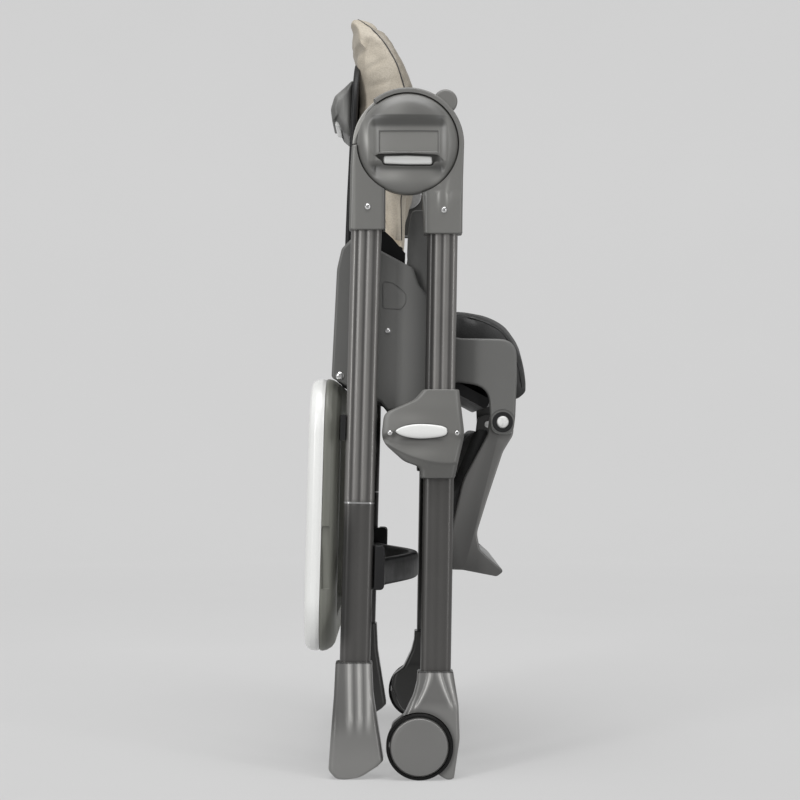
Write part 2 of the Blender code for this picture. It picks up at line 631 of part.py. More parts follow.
def tray_base(mats):
    """Grey under-tray with a well rounded front edge and two peg holes."""
    face, back = TRAY_FACE, TRAY_FACE + TRAY_BASE_T
    rings = [tray_ring(back - 4, 48), tray_ring(face, 44), tray_ring(face, 17), tray_ring(face + 1.5, 10.5),
             tray_ring(face + 5.5, 5), tray_ring(face + 12, 1.2), tray_ring(face + 17, 0),
             tray_ring(back, 1)]
    body = loft("tray_base", rings, mats["sage"], REAR_FRAME)
    for word, side in SIDES:
        rim = arc((side * PEG_Y, PEG_Z), 5.6, 0, 360, 14)[:-1]
        rings = [[(REAR_TOP[0] - x, y, z) for y, z in rim] for x in (face - 4, face + 12)]
        combine(body, loft(f"cut_peg_hole_{word}", rings, mats["sage"], REAR_FRAME), "DIFFERENCE")
    return body


def tray_insert(mats):
    """White lift-out tray with a raised rim around a shallow well."""
    near = TRAY_FACE + TRAY_BASE_T + GAP
    far = near + TRAY_INSERT_T
    rings = [tray_ring(near, 1.5), tray_ring(near + 5, 0), tray_ring(far - 8, 1), tray_ring(far - 3, 4),
             tray_ring(far - 0.6, 9), tray_ring(far, 15), tray_ring(far - 1.5, 22), tray_ring(far - 12, 29),
             tray_ring(far - 14.5, 36)]
    return loft("tray_insert", rings, mats["white"], REAR_FRAME)


# ---------------------------------------------------------------- joints
def hang(empty_name, at, names):
    """Parent a moving group to an empty on its joint's axis, leaving its place as it is."""
    pivot = bpy.data.objects.new(empty_name, None)
    pivot.location = Vector(at) * MM
    bpy.context.collection.objects.link(pivot)
    back = Matrix.Translation(-pivot.location)
    for name in names:
        obj = bpy.data.objects[name]
        obj.parent = pivot
        obj.matrix_parent_inverse = back


def both(*stems):
    return [f"{stem}_{word}" for stem in stems for word, _ in SIDES]


def place_joints():
    hub = (HUB[0], 0, HUB[1])
    front_leg_names = both("front_sleeve", "front_tube", "front_sleeve_screw", "wheel_housing", "wheel_axle")
    hang("front_fold_axis", hub, front_leg_names + ["front_crossbar"])
    rear_leg_names = both("rear_sleeve", "rear_tube", "rear_sleeve_screw", "rear_foot", "crossbar_bracket",
                          "tray_peg")
    hang("rear_fold_axis", hub, rear_leg_names + ["rear_crossbar"])
    hang("seat_slide_axis", (28.0, 0, 436), both("carriage", "seat_side", "recline_rack", "legrest_pin",
                                                 "recline_rod_screw")
         + ["seat_pan", "seat_cushion", "recline_rod"])
    hang("recline_axis", (SEAT_PIVOT[0], 0, SEAT_PIVOT[1]),
         ["backrest_shell", "back_cushion", "recline_handle"])
    hang("trigger_axis", (-106, 0, 868), ["recline_trigger"])
    hang("legrest_axis", (LEGREST_PIVOT[0], 0, LEGREST_PIVOT[1]),
         both("legrest_arm") + ["footrest", "calf_pad"])
    hang("tray_axis", (-90, 0, PEG_Z), ["tray_base"])
    hang("tray_insert_axis", (-110, 0, PEG_Z), ["tray_insert"])
    for word, side in SIDES:
        hang(f"wheel_spin_axis_{word}", (WHEEL[0], side * 276, WHEEL[1]),
             [f"tyre_{word}", f"wheel_cap_{word}"])
        hang(f"button_axis_{word}", (5.9, side * 283, BUTTON_Z), [f"height_button_{word}"])
        hang(f"lever_axis_{word}", (HUB[0], side * 282, 777), [f"release_lever_{word}"])


# ---------------------------------------------------------------- finishes
def finishes():
    return {
        "shell": make_material("satin_grey_shell", (0.165, 0.165, 0.158), 0.42),
        "casting": make_material("pearl_grey_casting", (0.20, 0.20, 0.192), 0.34, 0.25),
        "tube": make_material("painted_oval_tube", (0.115, 0.110, 0.105), 0.36, 0.35),
        "panel": make_material("seat_panel_grey", (0.130, 0.130, 0.125), 0.46),
        "dark": make_material("black_moulding", (0.032, 0.032, 0.033), 0.50),
        "steel": make_material("plain_steel", (0.50, 0.50, 0.50), 0.30, 1.0),
        "chrome": make_material("bright_screw", (0.80, 0.80, 0.80), 0.18, 1.0),
        "tyre": make_material("black_tyre", (0.012, 0.012, 0.012), 0.60),
        "white": make_material("white_moulding", (0.83, 0.85, 0.83), 0.25),
        "sage": make_material("under_tray_grey", (0.150, 0.152, 0.130), 0.45),
        "beige": make_material("beige_leather", (0.56, 0.51, 0.41), 0.50),
        "charcoal": make_material("charcoal_leather", (0.028, 0.028, 0.028), 0.55),
    }


def main():
    clear_scene()
    mats = finishes()
    for word, side in SIDES:
        hub_cover(word, side, mats)
        hub_core(word, side, mats)
        release_lever(word, side, mats)
        front_leg(word, side, mats)
        wheel(word, side, mats)
        rear_leg(word, side, mats)
        height_button(word, side, mats)
    front_crossbar(mats)
    rear_crossbar(mats)
    seat(mats)
    backrest_shell(mats)
    back_cushion(mats)
    recline_handle(mats)
    recline_trigger(mats)
    legrest(mats)
    tray_base(mats)
    tray_insert(mats)
    place_joints()


main()
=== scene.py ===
"""Folding baby high chair: the finished look of every piece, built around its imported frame.

Each shape is a surface worked out as whole arrays of points, in millimetres, and put into a
mesh in metres.  Each finish is a node material.  Run as a script, the file registers its
classes and calls its operators in order.
"""

import json

import bmesh
import bpy
import numpy as np
from bpy.props import FloatProperty, FloatVectorProperty, PointerProperty
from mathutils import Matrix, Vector
from mathutils.bvhtree import BVHTree


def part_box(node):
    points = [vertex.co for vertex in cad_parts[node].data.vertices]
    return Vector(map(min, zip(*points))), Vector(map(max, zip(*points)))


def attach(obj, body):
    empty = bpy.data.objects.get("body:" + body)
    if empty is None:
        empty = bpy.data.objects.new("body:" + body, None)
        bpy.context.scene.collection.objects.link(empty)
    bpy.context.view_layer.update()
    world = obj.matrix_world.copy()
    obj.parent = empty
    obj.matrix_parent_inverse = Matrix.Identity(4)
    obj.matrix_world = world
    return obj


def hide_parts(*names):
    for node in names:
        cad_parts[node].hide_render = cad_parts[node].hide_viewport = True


bl_info = {
    "name": "Folding High Chair",
    "version": (1, 0, 0),
    "blender": (4, 5, 0),
    "location": "3D View > Sidebar > High Chair",
    "description": "Builds the looks of a folding baby high chair around its frame",
    "category": "Object",
}

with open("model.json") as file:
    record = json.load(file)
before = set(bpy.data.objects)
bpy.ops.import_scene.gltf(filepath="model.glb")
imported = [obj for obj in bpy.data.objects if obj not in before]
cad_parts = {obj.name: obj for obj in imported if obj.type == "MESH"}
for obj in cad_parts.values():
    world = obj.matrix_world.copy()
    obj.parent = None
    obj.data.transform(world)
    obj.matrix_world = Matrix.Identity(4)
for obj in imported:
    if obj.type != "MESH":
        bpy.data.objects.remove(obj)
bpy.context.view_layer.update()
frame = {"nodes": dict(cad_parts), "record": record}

MM = 0.001
SIDES = (("right", -1.0), ("left", 1.0))
# in millimetres from here on, with points of the side view as (x, z)
HUB = (-11.0, 799.0)
COVER_R = 64.0
DISC_R = 71.0
REAR_TOP, REAR_LEAN = (-60.7, 799.0), np.radians(1.497)
FRONT_TOP, FRONT_LEAN = (34.7, 799.0), np.radians(0.934)
WHEEL = (3.1, 41.5)
SEAT_PIVOT = (-98.0, 507.0)
SEAT_TILT = np.radians(28.4)
LEGREST_PIVOT = (110.6, 448.0)
BUTTON = (5.9, 436.0)
TRAY_FACE = 26.5
TUBE_HALF = 19.25
FLUTE_PITCH = 10.5
SLEEVE_FACE = 278.0
PANEL_FACE = 228.0
GAP = 0.35
ON_PANEL = PANEL_FACE + GAP
CAP_INSET = 0.6
# how much lighter one unit of tone, the painted light and shade, makes a colour, and the cushions' inside pressure
# and simulated frames
PAINTED_LIGHT_BASE = 2.4
PAD_PRESSURE = 4.0
PAD_FRAMES = 20


# ------------------------------------------------------------------ outlines
def fillet(corners, steps=8, closed=True):
    """Outline through (a, b, radius) corners.

    Each corner becomes a quadratic curve between the two points where a circle of its
    radius would touch its sides, but never past the middle of a side.
    """
    corner = np.asarray(corners, float)
    point = corner[:, :2]
    back = np.roll(point, 1, 0) - point
    ahead = np.roll(point, -1, 0) - point
    back_length = np.linalg.norm(back, axis=1)
    ahead_length = np.linalg.norm(ahead, axis=1)
    back /= back_length[:, None]
    ahead /= ahead_length[:, None]
    turn = np.pi - np.arccos(np.clip((back * ahead).sum(1), -1, 1))
    reach = np.minimum(corner[:, 2] * np.tan(turn / 2), 0.48 * np.minimum(back_length, ahead_length))
    if not closed:
        reach[[0, -1]] = 0.0
    t = np.linspace(0, 1, steps)[None, :, None]
    first = (point + back * reach[:, None])[:, None]
    last = (point + ahead * reach[:, None])[:, None]
    curve = (first * (1 - t) ** 2 + 2 * point[:, None] * t * (1 - t) + last * t ** 2).reshape(-1, 2)
    step = np.linalg.norm(np.diff(curve, axis=0, prepend=curve[-1:] if closed else curve[:1] - 1), axis=1)
    return curve[step > 1e-3]


def arc(centre, radius, start, stop, count):
    """Points at even angles, in degrees, on a circle."""
    angle = np.radians(np.linspace(start, stop, count))
    return np.stack([centre[0] + radius * np.cos(angle), centre[1] + radius * np.sin(angle)], 1)


def resample(points, count, closed=True):
    """The same path with its points at even distances along it."""
    path = np.vstack([points, points[:1]]) if closed else np.asarray(points, float)
    along = np.r_[0, np.cumsum(np.linalg.norm(np.diff(path, axis=0), axis=1))]
    at = np.linspace(0, along[-1], count + 1 if closed else count)
    even = np.stack([np.interp(at, along, path[:, i]) for i in range(path.shape[1])], 1)
    return even[:-1] if closed else even


def inset(outline, distance):
    """Outline moved inward along its normals, by less where a corner is tighter than that."""
    before = outline - np.roll(outline, 1, 0)
    after = np.roll(outline, -1, 0) - outline
    short = np.minimum(np.linalg.norm(before, axis=1), np.linalg.norm(after, axis=1))
    before = before / np.linalg.norm(before, axis=1)[:, None]
    after = after / np.linalg.norm(after, axis=1)[:, None]
    x, z = outline.T
    way = np.sign(np.sum(x * np.roll(z, -1) - np.roll(x, -1) * z))
    mean = before + after
    inward = way * np.stack([-mean[:, 1], mean[:, 0]], 1)
    inward /= np.linalg.norm(inward, axis=1)[:, None]
    bend = way * (before[:, 0] * after[:, 1] - before[:, 1] * after[:, 0])
    room = np.where(bend > 0.02, 0.85 * short / np.maximum(bend, 0.02), 1e3)
    room = np.minimum(np.minimum(room, np.roll(room, 1)), np.roll(room, -1))
    move = np.minimum(room, distance)
    move = 0.25 * np.roll(move, 1) + 0.5 * move + 0.25 * np.roll(move, -1)
    return outline + inward * move[:, None]


def span(outline, heights):
    """Lowest and highest first coordinate of an outline at each height of the second one."""
    ahead = np.roll(outline, -1, 0)
    z0, z1 = outline[:, 1], ahead[:, 1]
    z = np.clip(heights, z0.min() + 0.02, z0.max() - 0.02)[:, None]
    crosses = (np.minimum(z0, z1) <= z) & (z <= np.maximum(z0, z1)) & (z0 != z1)
    x = outline[:, 0] + (z - z0) / np.where(z0 != z1, z1 - z0, 1) * (ahead[:, 0] - outline[:, 0])
    return np.where(crosses, x, np.inf).min(1), np.where(crosses, x, -np.inf).max(1)


def smooth(value, low, high):
    """0 below low, 1 above high, and an even S between them."""
    t = np.clip((value - low) / (high - low), 0, 1)
    return t * t * (3 - 2 * t)


def ridge(value, centre, width):
    """Bell curve: 1 at its centre and 0.37 one width away."""
    return np.exp(-((value - centre) / width) ** 2)


def painted_shade_inside(y, low, high, strength=1.5):
    """Painted shade: tone that falls off towards the faces that look at the chair's middle, which lie in shade."""
    return -strength * (1 - smooth(y, low, high))


# ------------------------------------------------------------------ surfaces
def skin(grid, start=True, end=True):
    """Faces over a grid of points (rings, around, 3).

    Four-sided faces join each point to its neighbours, one face closes each end, and all
    are turned outward by the sign of the volume that they hold.
    """
    rings, around = grid.shape[:2]
    index = np.arange(rings * around).reshape(rings, around)
    right = np.roll(index, -1, 1)
    quads = np.stack([index[:-1], index[1:], right[1:], right[:-1]], -1).reshape(-1, 4)
    points = grid.reshape(-1, 3)
    ends = ([index[0]] if start else []) + ([index[-1][::-1]] if end else [])
    a, b, c, d = (points[quads[:, i]] for i in range(4))
    volume = (a * np.cross(b, c)).sum() + (a * np.cross(c, d)).sum()
    for ring in ends:
        p = points[ring]
        volume += (p[0] * np.cross(p[1:-1], p[2:]).sum(0)).sum()
    if volume < 0:
        quads = quads[:, ::-1]
        ends = [ring[::-1] for ring in ends]
    return points, quads.tolist() + [ring.tolist() for ring in ends]


def depths(outline, depth, side):
    """(x, z) points set at one distance from the middle plane."""
    depth = np.broadcast_to(depth, outline.shape[:-1])
    return np.stack([outline[..., 0], side * depth, outline[..., 1]], -1)


def prism(outline, inner, outer, side, edge=2.0, edge_in=None, bend=5):
    """Side-view outline carried from inner to outer depth, with quarter-circle edges.

    At angle a of an edge of radius r the outline is inset by r(1 - cos a) and its depth is
    r(1 - sin a) short of the face.
    """
    edge_in = edge if edge_in is None else edge_in
    angle = np.linspace(0, np.pi / 2, bend)
    rings = [depths(inset(outline, edge_in + CAP_INSET), inner, side)]
    for face, way, r, turn in ((inner, 1, edge_in, angle[::-1]), (outer, -1, edge, angle)):
        rings += [depths(inset(outline, r * (1 - np.cos(a))), face + way * r * (1 - np.sin(a)), side) for a in turn]
    rings.append(depths(inset(outline, edge + CAP_INSET), outer, side))
    return skin(np.stack(rings))


def pillow(outline, half, reach, least):
    """Outline carried along Y from -half to half, drawn in towards its middle near both ends.

    Within a distance r of an end its scale is least + (1 - least) sqrt(1 - t^2), t from 0 to 1.
    """
    middle = (outline.min(0) + outline.max(0)) / 2
    t = np.sin(np.linspace(0, np.pi / 2, 10))
    y = np.r_[-(half - reach + reach * t)[::-1], half - reach + reach * t]
    scale = least + (1 - least) * np.sqrt(np.maximum(1 - np.r_[t[::-1], t] ** 2, 0))
    flat = middle + (outline[None] - middle) * scale[:, None, None]
    return skin(depths(flat, y[:, None], 1))


def section(across):
    """Rounded rectangle as core positions in [-1, 1] and corner directions, outer side first."""
    line = np.linspace(-1, 1, across)
    short = np.linspace(1, -1, 6)
    one, tiny = np.ones(across), np.ones(len(short))
    pieces = [(line, one, 0 * one, one)]
    for sx, sy, start in ((1, 1, 90), (1, -1, 0), (-1, -1, -90), (-1, 1, 180)):
        a = np.radians(np.linspace(start, start - 90, 8)[1:-1])
        if (sx, sy) == (1, -1):
            pieces.append((tiny, short, tiny, 0 * tiny))
        if (sx, sy) == (-1, -1):
            pieces.append((-line, -one, 0 * one, -one))
        if (sx, sy) == (-1, 1):
            pieces.append((-tiny, -short, -tiny, 0 * tiny))
        pieces.append((sx + 0 * a, sy + 0 * a, np.cos(a), np.sin(a)))
    return [np.concatenate([p[i] for p in pieces]) for i in range(4)]


def bar(z, x0, x1, y0, y1, radius, side=1.0, relief=None, ends=(1.5, 1.5), across=24):
    """Upright solid: at each height a rectangle x0..x1 by y0..y1 with circular corners.

    Near each end the rectangle shrinks by r - sqrt(r^2 - (r - d)^2) at a distance d from it.
    relief(x, z) is added to the outer face.
    """
    sx, sy, cx, cy = (v[None] for v in section(across))
    z = np.asarray(z, float)
    shrink = np.zeros_like(z)
    for r, d in ((ends[0], z - z[0]), (ends[1], z[-1] - z)):
        if r > 0:
            near = np.clip(r - d, 0, r)
            shrink = np.maximum(shrink, r - np.sqrt(r * r - near ** 2))
    x0, x1, y0, y1 = (np.broadcast_to(v, z.shape)[:, None] for v in (x0, x1, y0, y1))
    half_x = np.maximum((x1 - x0) / 2 - shrink[:, None], 0.05)
    half_y = np.maximum((y1 - y0) / 2 - shrink[:, None], 0.05)
    r = np.minimum(radius, 0.96 * np.minimum(half_x, half_y))
    x = (x0 + x1) / 2 + sx * (half_x - r) + cx * r
    y = (y0 + y1) / 2 + sy * (half_y - r) + cy * r
    level = np.broadcast_to(z[:, None], x.shape)
    if relief is not None:
        y = y + relief(x, level) * np.clip(cy, 0, 1)
    return skin(np.stack([x, side * y, level], -1))


def levels(low, high, count):
    """Heights that crowd together towards both ends."""
    return low + (high - low) * (0.5 - 0.5 * np.cos(np.pi * np.linspace(0, 1, count)))


def lathe(centre, profile, side, steps=96, caps=True):
    """(radius, depth) profile turned once about a line along Y through centre."""
    profile = np.asarray(profile, float)
    angle = np.linspace(0, 2 * np.pi, steps, endpoint=False)
    x = centre[0] + profile[:, :1] * np.cos(angle)
    z = centre[1] + profile[:, :1] * np.sin(angle)
    start, end = caps & (profile[[0, -1], 0] > 0.01)
    return skin(depths(np.stack([x, z], -1), profile[:, 1:], side), start, end)


def ring_lathe(centre, profile, side, steps=96):
    """Closed (radius, depth) profile turned once about a line along Y: a ring."""
    return lathe(centre, np.vstack([profile, profile[:1]]), side, steps, caps=False)


def carried(path, wide, half_w, half_t, power=2.0, around=16):
    """Superellipse profile carried along a path, square to it, its long axis near wide."""
    tangent = np.gradient(path, axis=0)
    tangent /= np.linalg.norm(tangent, axis=1)[:, None]
    wide = np.broadcast_to(np.asarray(wide, float), path.shape)
    across = wide - (wide * tangent).sum(1)[:, None] * tangent
    across /= np.linalg.norm(across, axis=1)[:, None]
    normal = np.cross(tangent, across)
    angle = np.linspace(0, 2 * np.pi, around, endpoint=False)
    u = half_w * np.sign(np.cos(angle)) * np.abs(np.cos(angle)) ** (2 / power)
    v = half_t * np.sign(np.sin(angle)) * np.abs(np.sin(angle)) ** (2 / power)
    return skin(path[:, None] + across[:, None] * u[None, :, None] + normal[:, None] * v[None, :, None])


def leaned(part, top, angle):
    """A part turned about its leg's top, in the side view."""
    points, faces = part
    x, z = points[:, 0] - top[0], points[:, 2] - top[1]
    c, s = np.cos(angle), np.sin(angle)
    return np.stack([top[0] + c * x + s * z, points[:, 1], top[1] - s * x + c * z], 1), faces


def seat_point(u, v):
    """Side-view point from u forward and v up in the opened, level seat."""
    c, s = np.cos(SEAT_TILT), np.sin(SEAT_TILT)
    return SEAT_PIVOT[0] + c * u + s * v, SEAT_PIVOT[1] - s * u + c * v


# ------------------------------------------------------------------ pieces
def mesh_object(name, parts):
    """Object in metres that holds all the parts, doubles merged."""
    points, faces, start = [], [], 0
    for part_points, part_faces in parts:
        points.append(part_points)
        faces += [[i + start for i in face] for face in part_faces]
        start += len(part_points)
    mesh = bpy.data.meshes.new(name)
    mesh.from_pydata((np.vstack(points) * MM).tolist(), [], faces)
    bm = bmesh.new()
    bm.from_mesh(mesh)
    bmesh.ops.remove_doubles(bm, verts=bm.verts, dist=2e-6)
    bm.to_mesh(mesh)
    bm.free()
    obj = bpy.data.objects.new(name, mesh)
    bpy.context.scene.collection.objects.link(obj)
    return obj


def applied(obj):
    """The object's mesh with its modifiers made part of it."""
    graph = bpy.context.evaluated_depsgraph_get()
    mesh = bpy.data.meshes.new_from_object(obj.evaluated_get(graph))
    obj.modifiers.clear()
    old = obj.data
    obj.data = mesh
    bpy.data.meshes.remove(old)
    return obj


def join(obj, other):
    """Add the other object's mesh to this one as a separate shell."""
    bm = bmesh.new()
    bm.from_mesh(obj.data)
    bm.from_mesh(other.data)
    bm.to_mesh(obj.data)
    bm.free()
    bpy.data.objects.remove(other, do_unlink=True)
    return obj


def points_of(mesh):
    """Point positions of a mesh as rows of x, y and z."""
    co = np.zeros(len(mesh.vertices) * 3)
    mesh.vertices.foreach_get("co", co)
    return co.reshape(-1, 3)


def set_points(obj, co):
    """Move the object's points to these rows of x, y and z."""
    obj.data.vertices.foreach_set("co", co.ravel())
    obj.data.update()


def set_values(obj, name, values):
    """Keep one number for each point under an attribute name that the finishes read."""
    layer = obj.data.attributes.get(name) or obj.data.attributes.new(name, "FLOAT", "POINT")
    layer.data.foreach_set("value", np.asarray(values, np.float32))


def carve(obj, parts, operation="DIFFERENCE"):
    """Cut each closed part out of the object, then drop the cutters."""
    for part in parts:
        cutter = mesh_object("cutter", [part])
        mod = obj.modifiers.new("cut", "BOOLEAN")
        mod.operation = operation
        mod.solver = "EXACT"
        mod.object = cutter
        applied(obj)
        bpy.data.objects.remove(cutter, do_unlink=True)
    return obj


def piece(name, parts, finish, body, replaces=(), cuts=(), sharp=32.0, tone=None):
    """Finished piece: mesh, cuts, smooth shading, material, body and the nodes it stands for."""
    obj = mesh_object(name, parts)
    if cuts:
        carve(obj, cuts)
    return settle(obj, finish, body, replaces, sharp, tone)


def settle(obj, finish, body, replaces=(), sharp=32.0, tone=None):
    """Shading, material, body and stand-ins; tone(x, |y|, z), the painted light and shade, is kept as a point
    attribute.
    """
    if tone is not None:
        x, y, z = (points_of(obj.data) / MM).T
        set_values(obj, "tone", np.broadcast_to(tone(x, np.abs(y), z), x.shape))
    obj.data.shade_smooth()
    obj.data.set_sharp_from_angle(angle=np.radians(sharp))
    obj.data.materials.clear()
    obj.data.materials.append(material(finish))
    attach(obj, body)
    if replaces:
        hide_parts(*replaces)
    return obj


def screw(name, centre, surface, side, body, replaces=(), radius=3.9):
    """Pan head with a cross recess in it, standing on a surface."""
    r, base = radius, surface + GAP
    head = fillet([(0, surface - 3, 0), (1.8, surface - 3, 0), (1.8, base, 0), (r, base, 0.2),
                   (r, base + 0.7, 0.6), (r * 0.6, base + 2.2, 1.6), (0, base + 2.5, 0)], 6, closed=False)
    arms = []
    for w, h in ((r * 0.14, r * 0.55), (r * 0.55, r * 0.14)):
        box = np.array([(-w, -h), (w, -h), (w, h), (-w, h)]) + np.array(centre)
        arms.append(skin(np.stack([depths(box, base + 1.0, side), depths(box, base + 4.0, side)])))
    return piece(name, [lathe(centre, head, side, 40)], "chrome", body, replaces, arms)


# ------------------------------------------------------------------ finishes
def group_sockets(name, inputs):
    """New shader node group that takes these values and gives a colour, a roughness and a height.

    Returns the group, the values it takes and the sockets it gives.
    """
    group = bpy.data.node_groups.new(name, "ShaderNodeTree")
    for label, value in inputs.items():
        kind = "NodeSocketColor" if isinstance(value, tuple) else "NodeSocketFloat"
        group.interface.new_socket(name=label, in_out="INPUT", socket_type=kind).default_value = value
    for label, kind in (("Colour", "Color"), ("Roughness", "Float"), ("Height", "Float")):
        group.interface.new_socket(name=label, in_out="OUTPUT", socket_type="NodeSocket" + kind)
    return group, group.nodes.new("NodeGroupInput").outputs, group.nodes.new("NodeGroupOutput").inputs


def feed(tree, value, socket):
    """Give a socket a link from another socket, or a constant."""
    if hasattr(value, "is_linked"):
        tree.links.new(value, socket)
    else:
        socket.default_value = value


def node(tree, kind, **values):
    """New node with its inputs and settings given by name."""
    new = tree.nodes.new(kind)
    for key, value in values.items():
        if key in new.inputs:
            new.inputs[key].default_value = value
        else:
            setattr(new, key, value)
    return new


def place_in(tree):
    """Position in the object's own space."""
    return tree.nodes.new("ShaderNodeTexCoord").outputs["Object"]


def axis_of(tree, vector, axis):
    """One axis of a vector."""
    split = tree.nodes.new("ShaderNodeSeparateXYZ")
    tree.links.new(vector, split.inputs["Vector"])
    return split.outputs[axis]


def noise(tree, vector, scale, detail=3.0, roughness=0.5):
    """Noise value from 0 to 1 at a place."""
    new = node(tree, "ShaderNodeTexNoise", Detail=detail, Roughness=roughness)
    tree.links.new(vector, new.inputs["Vector"])
    feed(tree, scale, new.inputs["Scale"])
    return new.outputs["Fac"]


def ranged(tree, value, low, high, to_low, to_high):
    """Value carried from the range low..high to the range to_low..to_high, and held there."""
    new = node(tree, "ShaderNodeMapRange")
    for socket, level in zip(new.inputs, (value, low, high, to_low, to_high)):
        feed(tree, level, socket)
    return new.outputs["Result"]


def maths(tree, operation, a, b):
    """One operation on two values."""
    new = node(tree, "ShaderNodeMath", operation=operation)
    for socket, value in zip(new.inputs, (a, b)):
        feed(tree, value, socket)
    return new.outputs["Value"]


def mixed(tree, factor, a, b, blend="MIX"):
    """Two colours blended by a factor."""
    new = node(tree, "ShaderNodeMix", data_type="RGBA", blend_type=blend)
    for label, value in (("Factor", factor), ("A", a), ("B", b)):
        feed(tree, value, [s for s in new.inputs if s.name == label and (label == "Factor" or s.type == "RGBA")][0])
    return [s for s in new.outputs if s.type == "RGBA"][0]


def toned(tree, colour, level, tone):
    """Colour times a level and a power of the tone, which carries painted light and shade."""
    grey = node(tree, "ShaderNodeCombineColor")
    total = maths(tree, "MULTIPLY", level, maths(tree, "POWER", PAINTED_LIGHT_BASE, tone))
    for socket in grey.inputs:
        tree.links.new(total, socket)
    return mixed(tree, 1.0, colour, grey.outputs["Color"], "MULTIPLY")


def give(group, end, *values):
    """Link the colour, roughness and height that a group gives."""
    for label, value in zip(("Colour", "Roughness", "Height"), values):
        group.links.new(value, end[label])
    return group


def moulded_group():
    """Moulded or sprayed surface: faint cloudy tone, hazy gloss patches, fine sparks and dust on top, and the painted
    light and shade of its Tone value.
    """
    group, start, end = group_sockets("Moulded Surface", {
        "Colour": (0.5, 0.5, 0.5, 1), "Tone Spread": 0.08, "Roughness": 0.4, "Gloss Spread": 0.06,
        "Grain Scale": 1800.0, "Dust": 0.1, "Tone": 0.0})
    place = place_in(group)
    cloud = noise(group, place, 9.0, 4.0)
    fine = noise(group, place, start["Grain Scale"], 2.0, 0.6)
    haze = noise(group, place, 34.0, 5.0, 0.65)
    level = ranged(group, cloud, 0.3, 0.7, maths(group, "SUBTRACT", 1.0, start["Tone Spread"]),
                   maths(group, "ADD", 1.0, start["Tone Spread"]))
    speck = ranged(group, fine, 0.3, 0.7, 0.96, 1.04)
    shaded = toned(group, start["Colour"], maths(group, "MULTIPLY", level, speck), start["Tone"])
    normal = group.nodes.new("ShaderNodeNewGeometry").outputs["Normal"]
    up = ranged(group, axis_of(group, normal, "Z"), 0.55, 1.0, 0.0, 1.0)
    film = maths(group, "MULTIPLY", up, ranged(group, haze, 0.35, 0.7, 0.0, 1.0))
    film = maths(group, "MULTIPLY", film, start["Dust"])
    spread = maths(group, "MULTIPLY", ranged(group, haze, 0.3, 0.7, -1.0, 1.0), start["Gloss Spread"])
    dull = maths(group, "ADD", spread, maths(group, "MULTIPLY", film, 0.5))
    return give(group, end, mixed(group, film, shaded, (0.42, 0.41, 0.39, 1)),
                maths(group, "ADD", start["Roughness"], dull), fine)


def leather_group():
    """Coated cloth: small rounded pebbles with creases between them, broken by larger folds, and the painted light
    and shade of its Tone value.
    """
    group, start, end = group_sockets("Leather Grain", {
        "Colour": (0.5, 0.5, 0.5, 1), "Band Colour": (0.3, 0.3, 0.3, 1), "Band": 0.0, "Roughness": 0.5,
        "Pebble Scale": 700.0, "Tone": 0.0})
    place = place_in(group)
    cell = node(group, "ShaderNodeTexVoronoi", feature="SMOOTH_F1", Smoothness=0.35, Randomness=1.0)
    group.links.new(place, cell.inputs["Vector"])
    group.links.new(start["Pebble Scale"], cell.inputs["Scale"])
    pebble = ranged(group, cell.outputs["Distance"], 0.0, 0.7, 1.0, 0.0)
    fold = noise(group, place, 26.0, 4.0, 0.55)
    cloud = noise(group, place, 7.0, 3.0)
    colour = mixed(group, start["Band"], start["Colour"], start["Band Colour"])
    level = maths(group, "MULTIPLY", ranged(group, cloud, 0.3, 0.7, 0.94, 1.05),
                  ranged(group, pebble, 0.0, 0.6, 0.86, 1.0))
    return give(group, end, toned(group, colour, level, start["Tone"]),
                maths(group, "ADD", start["Roughness"], ranged(group, pebble, 0.0, 1.0, 0.10, -0.06)),
                maths(group, "ADD", pebble, maths(group, "MULTIPLY", fold, 1.6)))


def brushed_group():
    """Bright metal: short fine scratches one way and a faint tarnish."""
    group, start, end = group_sockets("Bright Metal", {"Colour": (0.8, 0.8, 0.8, 1), "Roughness": 0.2})
    place = place_in(group)
    stretch = node(group, "ShaderNodeMapping", Scale=(1.0, 1.0, 0.06))
    group.links.new(place, stretch.inputs["Vector"])
    scratch = noise(group, stretch.outputs["Vector"], 2600.0, 2.0)
    stain = noise(group, place, 220.0, 3.0)
    return give(group, end, mixed(group, ranged(group, stain, 0.45, 0.75, 0.0, 0.35), start["Colour"],
                                  (0.30, 0.30, 0.29, 1)),
                maths(group, "ADD", start["Roughness"], ranged(group, scratch, 0.3, 0.7, -0.04, 0.10)), scratch)


GROUP_MAKERS = {"Moulded Surface": moulded_group, "Leather Grain": leather_group, "Bright Metal": brushed_group}


def moulded(tone_spread, roughness, gloss_spread, dust, grain=1800.0):
    """The moulded group with its values."""
    return "Moulded Surface", {"Tone Spread": tone_spread, "Roughness": roughness, "Gloss Spread": gloss_spread,
                               "Dust": dust, "Grain Scale": grain}


